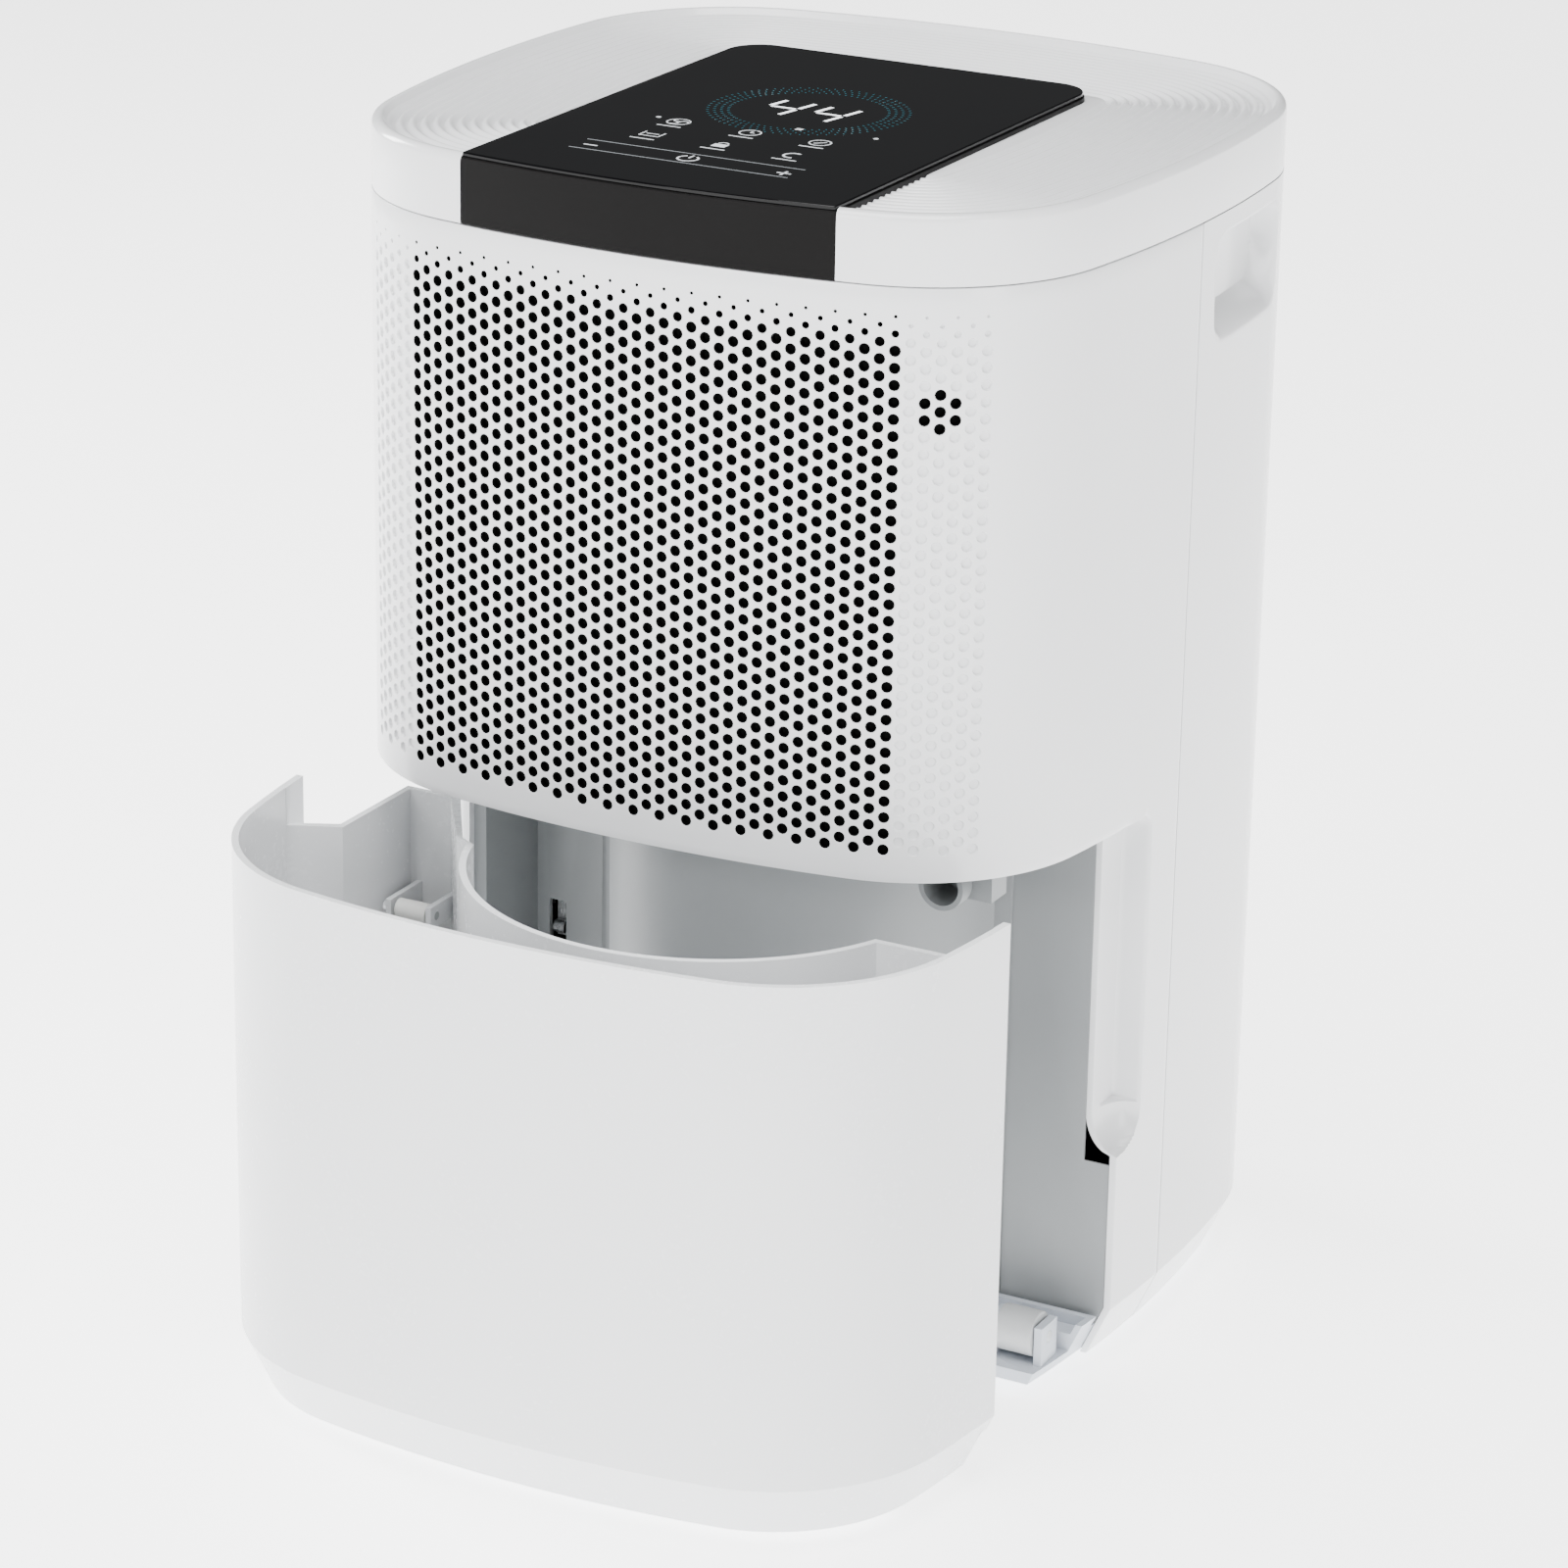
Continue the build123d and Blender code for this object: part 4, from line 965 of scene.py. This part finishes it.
# ---- rear casing --------------------------------------------------------------------
@dataclass
class RearCasing:
    """Smooth rear shell with two lifting scoops, the intake window and two holes."""

    scoop_y: Pair = (11.0, 72.0)
    scoop_z: Pair = (352.0, 390.0)
    scoop_depth: float = 9.0
    scoop_corner: float = 9.0
    window_half: float = 88.0
    window_z: Pair = (206.0, 372.0)
    plug_xz: Pair = (62.0, 138.0)
    plug_r: float = 8.3
    gland_xz: Pair = (-66.0, 48.0)
    gland_r: float = 7.3
    bore_y: float = 125.0

    def scoop(self, x: float, y: float, z: float) -> float:
        """Depth of a lifting scoop: a dish below, a steep lip above.

        Args:
            x: Plan x, not used.
            y: Plan y.
            z: Height.

        Returns:
            Extra depth in millimetres.
        """
        (y0, y1), (z0, z1) = self.scoop_y, self.scoop_z
        t = min(
            corner_distance(y - y0, z - z0, self.scoop_corner),
            corner_distance(y1 - y, z - z0, self.scoop_corner),
            corner_distance(y - y0, z1 - z, self.scoop_corner),
            corner_distance(y1 - y, z1 - z, self.scoop_corner),
        )
        if t <= 0:
            return 0.0
        slope = 2.5 + 12.0 * smooth_step((z1 - z) / (z1 - z0) * 1.4 - 0.4)
        return self.scoop_depth * smooth_step(t / slope)

    def build(self) -> Object:
        """Builds and dresses the rear shell.

        Returns:
            The piece.
        """
        bm = bmesh.new()
        whole = 2 * PLAN.half_length
        y0, y1 = self.scoop_y
        s0, s1 = PLAN.s_at_y(y0 - 1), PLAN.s_at_y(y1 + 1)
        rear_arc = PLAN.half_length - ARCS[-1].length
        back_r = ARCS[-1].radius
        window_s = PLAN.half_length - back_r * math.asin(self.window_half / back_r)
        right = joined(
            [S_REAR_SEAM],
            spaced(S_REAR_SEAM, s0, 3.0),
            spaced(s0, s0 + 4, 0.4),
            spaced(s0 + 4, s1 - 4, 1.5),
            spaced(s1 - 4, s1, 0.4),
            spaced(s1, rear_arc, 3.0),
            spaced(rear_arc, window_s, 5.0),
            spaced(window_s, PLAN.half_length, 8.0),
        )
        s_lines = joined(right, [whole - s for s in right])
        z0, z1 = self.scoop_z
        z_lines = joined(
            foot_lines(),
            spaced(BASE_Z + CHAMFER_H + 1.2, self.window_z[0], 10.0),
            spaced(self.window_z[0], z0 - 1, 10.0),
            spaced(z0 - 1, z0 + 6, 0.7),
            spaced(z0 + 6, self.window_z[1], 1.6),
            spaced(self.window_z[1], z1 - 5, 1.6),
            spaced(z1 - 5, z1 + 0.5, 0.35),
            [SEAM_Z - GAP / 2],
        )
        grid_patch(bm, s_lines, z_lines, 0.0)
        inside = [
            f for f in bm.faces
            if abs(f.calc_center_median().x - PLAN.half_length) < PLAN.half_length - window_s
            and self.window_z[0] < f.calc_center_median().z < self.window_z[1]
        ]
        bmesh.ops.delete(bm, geom=inside, context="FACES")
        bend(bm, self.scoop)
        bmesh.ops.recalc_face_normals(bm, faces=bm.faces)
        outward = sum(f.normal.dot(Vector((*f.calc_center_median().xy, 0))) for f in bm.faces)
        bmesh.ops.solidify(bm, geom=list(bm.faces), thickness=math.copysign(WALL, outward))
        piece = make_piece("rear_shell", bm, "white_abs", "casing")
        for name, (x, z), r in (
            ("plug_bore", self.plug_xz, self.plug_r),
            ("gland_bore", self.gland_xz, self.gland_r),
        ):
            cut_round(piece, name, (x, self.bore_y, z), r)
        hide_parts("rear_casing")
        return piece


def cut_round(piece: Object, name: str, centre: Triple, radius: float) -> None:
    """Cuts a round hole along Y through a finished piece.

    Args:
        piece: The piece; its mesh is replaced.
        name: Name of the passing cutter.
        centre: A point on the hole's axis, in millimetres.
        radius: Radius in millimetres.
    """
    bm = bmesh.new()
    bmesh.ops.create_cone(
        bm, cap_ends=True, segments=48, radius1=radius, radius2=radius, depth=40.0,
        matrix=Matrix.Translation(centre) @ Matrix.Rotation(math.radians(90), 4, "X"),
    )
    bm.transform(Matrix.Scale(MM, 4))
    cutter = linked(name, as_mesh(name, bm))
    cut = piece.modifiers.new(name, "BOOLEAN")
    cut.operation = "DIFFERENCE"
    cut.solver = "EXACT"
    cut.object = cutter
    bpy.context.view_layer.update()
    shape = piece.evaluated_get(bpy.context.evaluated_depsgraph_get())
    made = bpy.data.meshes.new_from_object(shape)
    piece.modifiers.clear()
    old, piece.data = piece.data, made
    bpy.data.meshes.remove(old)
    bpy.data.objects.remove(cutter)


# ---- top cover ----------------------------------------------------------------------
@dataclass
class TopCover:
    """Lid with a rounded edge, a low rim and concentric ripples."""

    rim_z: float = 419.5
    edge_r: float = 2.6
    rim_in: float = 3.4
    field_in: float = 5.2
    ripple_first: float = 7.0
    ripple_step: float = 4.0
    ripple_depth: float = 1.2
    ripple_count: int = 14
    ripple_lines: int = 8
    panel_half: float = 67.4
    notch_depth: float = 13.0

    def profile(self) -> list[Pair]:
        """Section of the lid, from the skirt to the middle, as inset and height."""
        low = SEAM_Z + GAP / 2
        section = [(1.6, low + 0.6), (0.6, low), (0.15, low + 0.15), (0.0, low + 0.6)]
        section.append((0.0, self.rim_z - self.edge_r - 6))
        for k in range(7):
            a = math.radians(15 * k)
            section.append(
                (self.edge_r * (1 - math.cos(a)), self.rim_z - self.edge_r * (1 - math.sin(a)))
            )
        section += [
            (self.rim_in, self.rim_z - 0.02),
            (self.rim_in + 0.5, self.rim_z - 0.35),
            (self.field_in - 0.5, FIELD_Z + 0.35),
            (self.field_in + 0.1, FIELD_Z),
        ]
        fine = self.ripple_lines
        for k in range(self.ripple_count * fine + 1):
            inset = self.ripple_first - 1.2 + self.ripple_step * k / fine
            wave = 0.5 - 0.5 * math.cos(2 * math.pi * k / fine)
            section.append((inset, FIELD_Z - self.ripple_depth * wave))
        return section

    def build(self) -> Object:
        """Builds and dresses the lid.

        Returns:
            The piece.
        """
        bm = bmesh.new()
        s_half = ARCS[0].radius * math.asin(self.panel_half / ARCS[0].radius)
        around = joined(PLAN.loop((14, 26, 22, 26, 22)), (-s_half, s_half))
        section = self.profile()
        rings = []
        for inset, z in section:
            ring = bmesh.ops.create_circle(bm, segments=len(around), radius=1.0)["verts"]
            for v, s in zip(ring, around):
                v.co = (*PLAN.at(s, inset), z)
            rings.append(ring)
        for a, b in zip(rings, rings[1:]):
            edges = [e for v in a + b for e in v.link_edges if not e.link_faces or e.is_boundary]
            bmesh.ops.bridge_loops(bm, edges=list(dict.fromkeys(edges)))
        bmesh.ops.contextual_create(bm, geom=rings[-1])
        notch_y = self.notch_depth - PLAN.depth / 2
        gone = []
        for f in bm.faces:
            c = f.calc_center_median()
            if len(f.verts) == 4 and abs(c.x) < self.panel_half and c.y < notch_y:
                gone.append(f)
        bmesh.ops.delete(bm, geom=gone, context="FACES")
        piece = make_piece("top_lid", bm, "white_abs", "casing", sharp=math.radians(50))
        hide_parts("top_cover")
        return piece


# ---- control panel ------------------------------------------------------------------
@dataclass
class ControlPanel:
    """Dark surround, gloss plate and the printed and lit symbols on it."""

    lift: float = 0.05
    digit_h: float = 19.8
    digit_w: float = 10.6
    slant: float = 3.7
    stroke: float = 1.5
    digits: tuple[Pair, ...] = ((-12.2, -8.4), (5.2, -9.3))
    halo: Pair = (0.9, -18.5)
    halo_r: tuple[float, ...] = (26.5, 28.8, 31.1, 33.4)
    halo_ticks: int = 72
    tick_half: float = 0.45
    tick_t: float = 0.42
    fan: tuple[Pair, float, float] = ((-28.1, -54.4), 2.1, 1.9)
    rings: tuple[tuple[Pair, float, float, float, float, int], ...] = (
        ((-28.1, -54.4), 3.9, 0.45, 0, 360, 28),
        ((-1.0, -55.6), 3.6, 0.5, 0, 360, 28),
        ((-1.1, -73.6), 1.7, 0.5, 0, 180, 12),
        ((24.7, -55.9), 3.6, 0.5, 0, 360, 28),
        ((25.2, -75.7), 3.0, 0.8, 60, 230, 18),
        ((-1.4, -96.5), 3.4, 0.7, 120, 300, 22),
    )
    dots: tuple[tuple[Pair, float], ...] = (
        ((-37.0, -51.9), 0.9),
        ((37.4, -41.4), 0.9),
    )
    bars: tuple[tuple[Pair, Pair, float], ...] = (
        ((-30.6, -71.0), (-30.6, -76.4), 0.5),
        ((-30.6, -76.4), (-23.6, -76.4), 0.5),
        ((-23.6, -76.4), (-23.6, -71.0), 0.5),
        ((-29.4, -73.4), (-24.8, -73.4), 0.5),
        ((-1.0, -55.6), (-1.0, -53.4), 0.45),
        ((-1.0, -55.6), (0.6, -55.6), 0.45),
        ((-3.6, -76.0), (1.4, -76.0), 3.6),
        ((9.0, -42.9), (11.4, -42.9), 2.2),
        ((23.0, -57.4), (26.4, -54.4), 0.5),
        ((-39.2, -97.0), (-34.2, -97.0), 0.8),
        ((-1.4, -92.4), (-1.4, -96.0), 0.7),
        ((31.2, -97.7), (36.2, -97.7), 0.8),
        ((33.7, -95.2), (33.7, -100.2), 0.8),
    )
    labels: tuple[Pair, ...] = (
        (-28.1, -61.2), (-1.0, -62.2), (24.7, -62.4),
        (-27.2, -80.6), (-1.1, -81.0), (25.2, -81.8),
    )
    label_half: float = 4.4
    rule_x: Pair = (-41.6, 37.5)
    rule_y: Pair = (-90.5, -102.4)
    rule_t: float = 0.4
    ink: BMesh = field(default_factory=bmesh.new)

    def bar(self, bm: BMesh, start: Pair, end: Pair, width: float) -> None:
        """Adds a thin raised bar between two points of the plate.

        Args:
            bm: Mesh that takes the bar.
            start: First point.
            end: Last point.
            width: Width of the bar.
        """
        a, b = Vector((*start, 0)), Vector((*end, 0))
        along = b - a
        place = (
            Matrix.Translation(((a + b) / 2) + Vector((0, 0, PANEL_Z + self.lift / 2)))
            @ Matrix.Rotation(math.atan2(along.y, along.x), 4, "Z")
            @ Matrix.Diagonal((along.length, width, self.lift, 1))
        )
        bmesh.ops.create_cube(bm, size=1.0, matrix=place)

    def hoop(
        self, bm: BMesh, centre: Pair, radius: float, width: float,
        start: float = 0.0, sweep: float = 360.0, steps: int = 28,
    ) -> None:
        """Adds a thin raised ring or part of one.

        Args:
            bm: Mesh that takes the ring.
            centre: Middle of the ring.
            radius: Mean radius.
            width: Width of the line.
            start: First angle in degrees.
            sweep: Angle swept in degrees.
            steps: Steps round the sweep.
        """
        a = math.radians(start)
        place = (
            Matrix.Translation((*centre, PANEL_Z + self.lift / 2))
            @ Matrix.Rotation(a, 4, "Z")
            @ Matrix.Translation((radius, 0, 0))
            @ Matrix.Rotation(math.radians(90), 4, "X")
            @ Matrix.Diagonal((width / 2, self.lift / 2, 1, 1))
        )
        made = bmesh.ops.create_grid(bm, x_segments=1, y_segments=1, size=1.0, matrix=place)
        geom = list(made["verts"])
        geom += list({e for v in made["verts"] for e in v.link_edges})
        geom += list({f for v in made["verts"] for f in v.link_faces})
        full = abs(sweep) > 359.9
        bmesh.ops.spin(
            bm, geom=geom, cent=(*centre, 0), axis=(0, 0, 1), angle=math.radians(sweep),
            steps=steps, use_merge=full, use_duplicate=False, dvec=(0, 0, 0),
        )

    def dot(self, bm: BMesh, centre: Pair, radius: float) -> None:
        """Adds a small raised disc.

        Args:
            bm: Mesh that takes the disc.
            centre: Middle of the disc.
            radius: Its radius.
        """
        bmesh.ops.create_cone(
            bm, cap_ends=True, segments=20, radius1=radius, radius2=radius, depth=self.lift,
            matrix=Matrix.Translation((*centre, PANEL_Z + self.lift / 2)),
        )

    def figure(self, bm: BMesh, left: float, top: float) -> None:
        """Adds one slanted figure four from its four lit segments.

        Args:
            bm: Mesh that takes the segments.
            left: x of the upper left end.
            top: y of the top.
        """
        h, w, g = self.digit_h, self.digit_w, 0.9

        def at(u: float, v: float) -> Pair:
            """Point of the figure from its upright place."""
            return (left + u - self.slant * v / h, top - v)

        mid = h / 2
        runs = [
            ((0, 0.4), (0, mid - g)),
            ((w, 0.4), (w, mid - g)),
            ((w, mid + g), (w, h - 0.4)),
            ((g, mid), (w - g, mid)),
        ]
        for a, b in runs:
            self.bar(bm, at(*a), at(*b), self.stroke)

    def symbols(self) -> None:
        """Adds the printed symbols, each with a plain bar for its label."""
        (x, y), turn, petal = self.fan
        for k in range(3):
            centre = (x + petal * math.cos(turn * k), y + petal * math.sin(turn * k))
            self.hoop(self.ink, centre, 1.4, 0.5, 120 * k, 200, 12)
        for centre, radius, width, start, sweep, steps in self.rings:
            self.hoop(self.ink, centre, radius, width, start, sweep, steps)
        for centre, radius in self.dots:
            self.dot(self.ink, centre, radius)
        for start, end, width in self.bars:
            self.bar(self.ink, start, end, width)
        for x, y in self.labels:
            self.bar(self.ink, (x - self.label_half, y), (x + self.label_half, y), 0.7)

    def build(self) -> list[Object]:
        """Builds and dresses the panel.

        Returns:
            Its pieces.
        """
        pieces = [
            refine("panel_surround", "panel_body", 0.5, 3),
            refine("touch_plate", "panel_glass", 0.5, 3),
        ]
        lit = bmesh.new()
        for left, top in self.digits:
            self.figure(lit, left, top)
        pieces.append(make_piece("digit_windows", lit, "display_block", "casing", DIGIT_LIGHT))
        glow = bmesh.new()
        cx, cy = self.halo
        pitch = 2 * math.pi / self.halo_ticks
        for row, r in enumerate(self.halo_r):
            for k in range(self.halo_ticks):
                a = pitch * (k + 0.5 * (row % 2))
                c, s = math.cos(a), math.sin(a)
                ends = [(cx + q * c, cy + q * s) for q in (r - self.tick_half, r + self.tick_half)]
                self.bar(glow, *ends, self.tick_t)
        pieces.append(make_piece("halo_windows", glow, "display_block", "casing", HALO_LIGHT))
        # The printed symbols and rules carry a painted glow from their inks.
        self.symbols()
        pieces.append(make_piece("printed_symbols", self.ink, "panel_gloss", "casing", PALE_PRINT_PAINTED_GLOW))
        rules = bmesh.new()
        for y in self.rule_y:
            self.bar(rules, (self.rule_x[0], y), (self.rule_x[1], y), self.rule_t)
        pieces.append(make_piece("printed_rules", rules, "panel_gloss", "casing", GREY_PRINT_PAINTED_GLOW))
        return pieces


# ---- carried-over parts -------------------------------------------------------------
@dataclass
class Fittings:
    """Parts whose CAD shape is right, given rounded edges where they show."""

    rounded: tuple[tuple[str, str, float], ...] = (
        ("tank_shell", "water_tank", 0.5),
        ("bay_walls", "bay_liner", 0.6),
        ("base_pan", "base_tray", 0.7),
        ("drip_funnel", "drip_spout", 0.3),
        ("guide_roller_left", "roller_left", 0.5),
        ("guide_roller_right", "roller_right", 0.5),
        ("float_block", "tank_float", 0.3),
        ("filter_surround", "filter_frame", 0.4),
        ("drain_stopper", "drain_plug", 0.3),
        ("drain_socket", "drain_port", 0.3),
        ("cord_entry", "cord_gland", 0.4),
        ("feet", "rubber_feet", 0.6),
    )

    def build(self) -> list[Object]:
        """Rounds the shown parts and dresses every carried-over node.

        Returns:
            The new pieces.
        """
        for node, thing in frame["nodes"].items():
            thing.data.materials.clear()
            thing.data.materials.append(SLOTS[SLOT_OF[node]].material())
        return [refine(name, node, width) for name, node, width in self.rounded]


# ---- studio -------------------------------------------------------------------------
@dataclass
class Studio:
    """Pale floor, soft lights and the camera."""

    azimuth: float = 27.6485
    elevation: float = 20.3885
    roll: float = 0.9978
    distance: float = 1.824
    lens: float = 122.57775
    aim: Triple = (0.0, -0.03, 0.2)
    slide: Pair = (0.0016, -0.0116)
    sensor: float = 36.0
    floor_half: float = 6.0
    air_strength: float = 0.12
    lit_point: Triple = (0.0, -0.03, 0.22)
    boxes: tuple[tuple[str, Triple, Pair, float], ...] = (
        ("overhead_box", (0.1, -0.5, 1.9), (1.2, 1.2), 55),
        ("left_box", (-1.8, 0.1, 0.95), (0.5, 0.9), 50),
        ("right_box", (1.7, -0.9, 0.9), (0.7, 1.4), 16),
        ("front_box", (-0.5, -2.4, 1.1), (1.2, 1.0), 34),
    )

    def axes(self) -> tuple[Vector, Vector, Vector]:
        """Right, up and forward directions of the camera."""
        az, el, roll = (math.radians(v) for v in (self.azimuth, self.elevation, self.roll))
        forward = Vector(
            (-math.sin(az) * math.cos(el), math.cos(az) * math.cos(el), -math.sin(el))
        )
        flat = Vector((math.cos(az), math.sin(az), 0))
        up = flat.cross(forward)
        c, s = math.cos(roll), math.sin(roll)
        return c * flat + s * up, -s * flat + c * up, forward

    def camera(self) -> None:
        """Places the camera."""
        right, up, forward = self.axes()
        target = Vector(self.aim) + self.slide[0] * right + self.slide[1] * up
        data = bpy.data.cameras.new("studio_camera")
        data.sensor_width = self.sensor
        data.lens = self.lens
        data.clip_end = 50.0
        turn = Matrix((right, up, -forward)).transposed().to_4x4()
        thing = linked("studio_camera", data)
        thing.matrix_world = Matrix.Translation(target - forward * self.distance) @ turn
        bpy.context.scene.camera = thing

    def light(self, name: str, at: Triple, size: Pair, power: float) -> None:
        """Adds a soft box that faces the object.

        Args:
            name: Name of the light.
            at: Its place in metres.
            size: Width and height in metres.
            power: Power in watts.
        """
        data = bpy.data.lights.new(name, "AREA")
        data.shape = "RECTANGLE"
        data.size, data.size_y = size
        data.energy = power
        thing = linked(name, data)
        thing.location = at
        facing = Vector(self.lit_point) - Vector(at)
        thing.rotation_euler = facing.to_track_quat("-Z", "Y").to_euler()

    def build(self) -> None:
        """Builds the floor, the lights and the camera."""
        bm = bmesh.new()
        bmesh.ops.create_grid(bm, x_segments=4, y_segments=4, size=self.floor_half)
        floor = linked("studio_floor", as_mesh("studio_floor", bm))
        floor.data.materials.append(FLOOR.material())
        world = bpy.data.worlds.new("studio_air")
        world.use_nodes = True
        air = world.node_tree.nodes["Background"]
        air.inputs["Color"].default_value = linear("F4F6F8")
        air.inputs["Strength"].default_value = self.air_strength
        bpy.context.scene.world = world
        for name, at, size, power in self.boxes:
            self.light(name, at, size, power)
        self.camera()


def main() -> None:
    """Builds the object and its studio, and reports each piece."""
    logging.basicConfig(level=logging.INFO, format="%(name)s: %(message)s")
    made: list[Object] = []
    made += Fittings().build()
    front = FrontCasing()
    made.append(front.build())
    made.append(front.web())
    made.append(front.painted_shade_sheet())
    made.append(RearCasing().build())
    made.append(TopCover().build())
    made += ControlPanel().build()
    for piece in made:
        LOG.info("%s: %d faces", piece.name, len(piece.data.polygons))
    Studio().build()


if __name__ == "__main__":
    main()
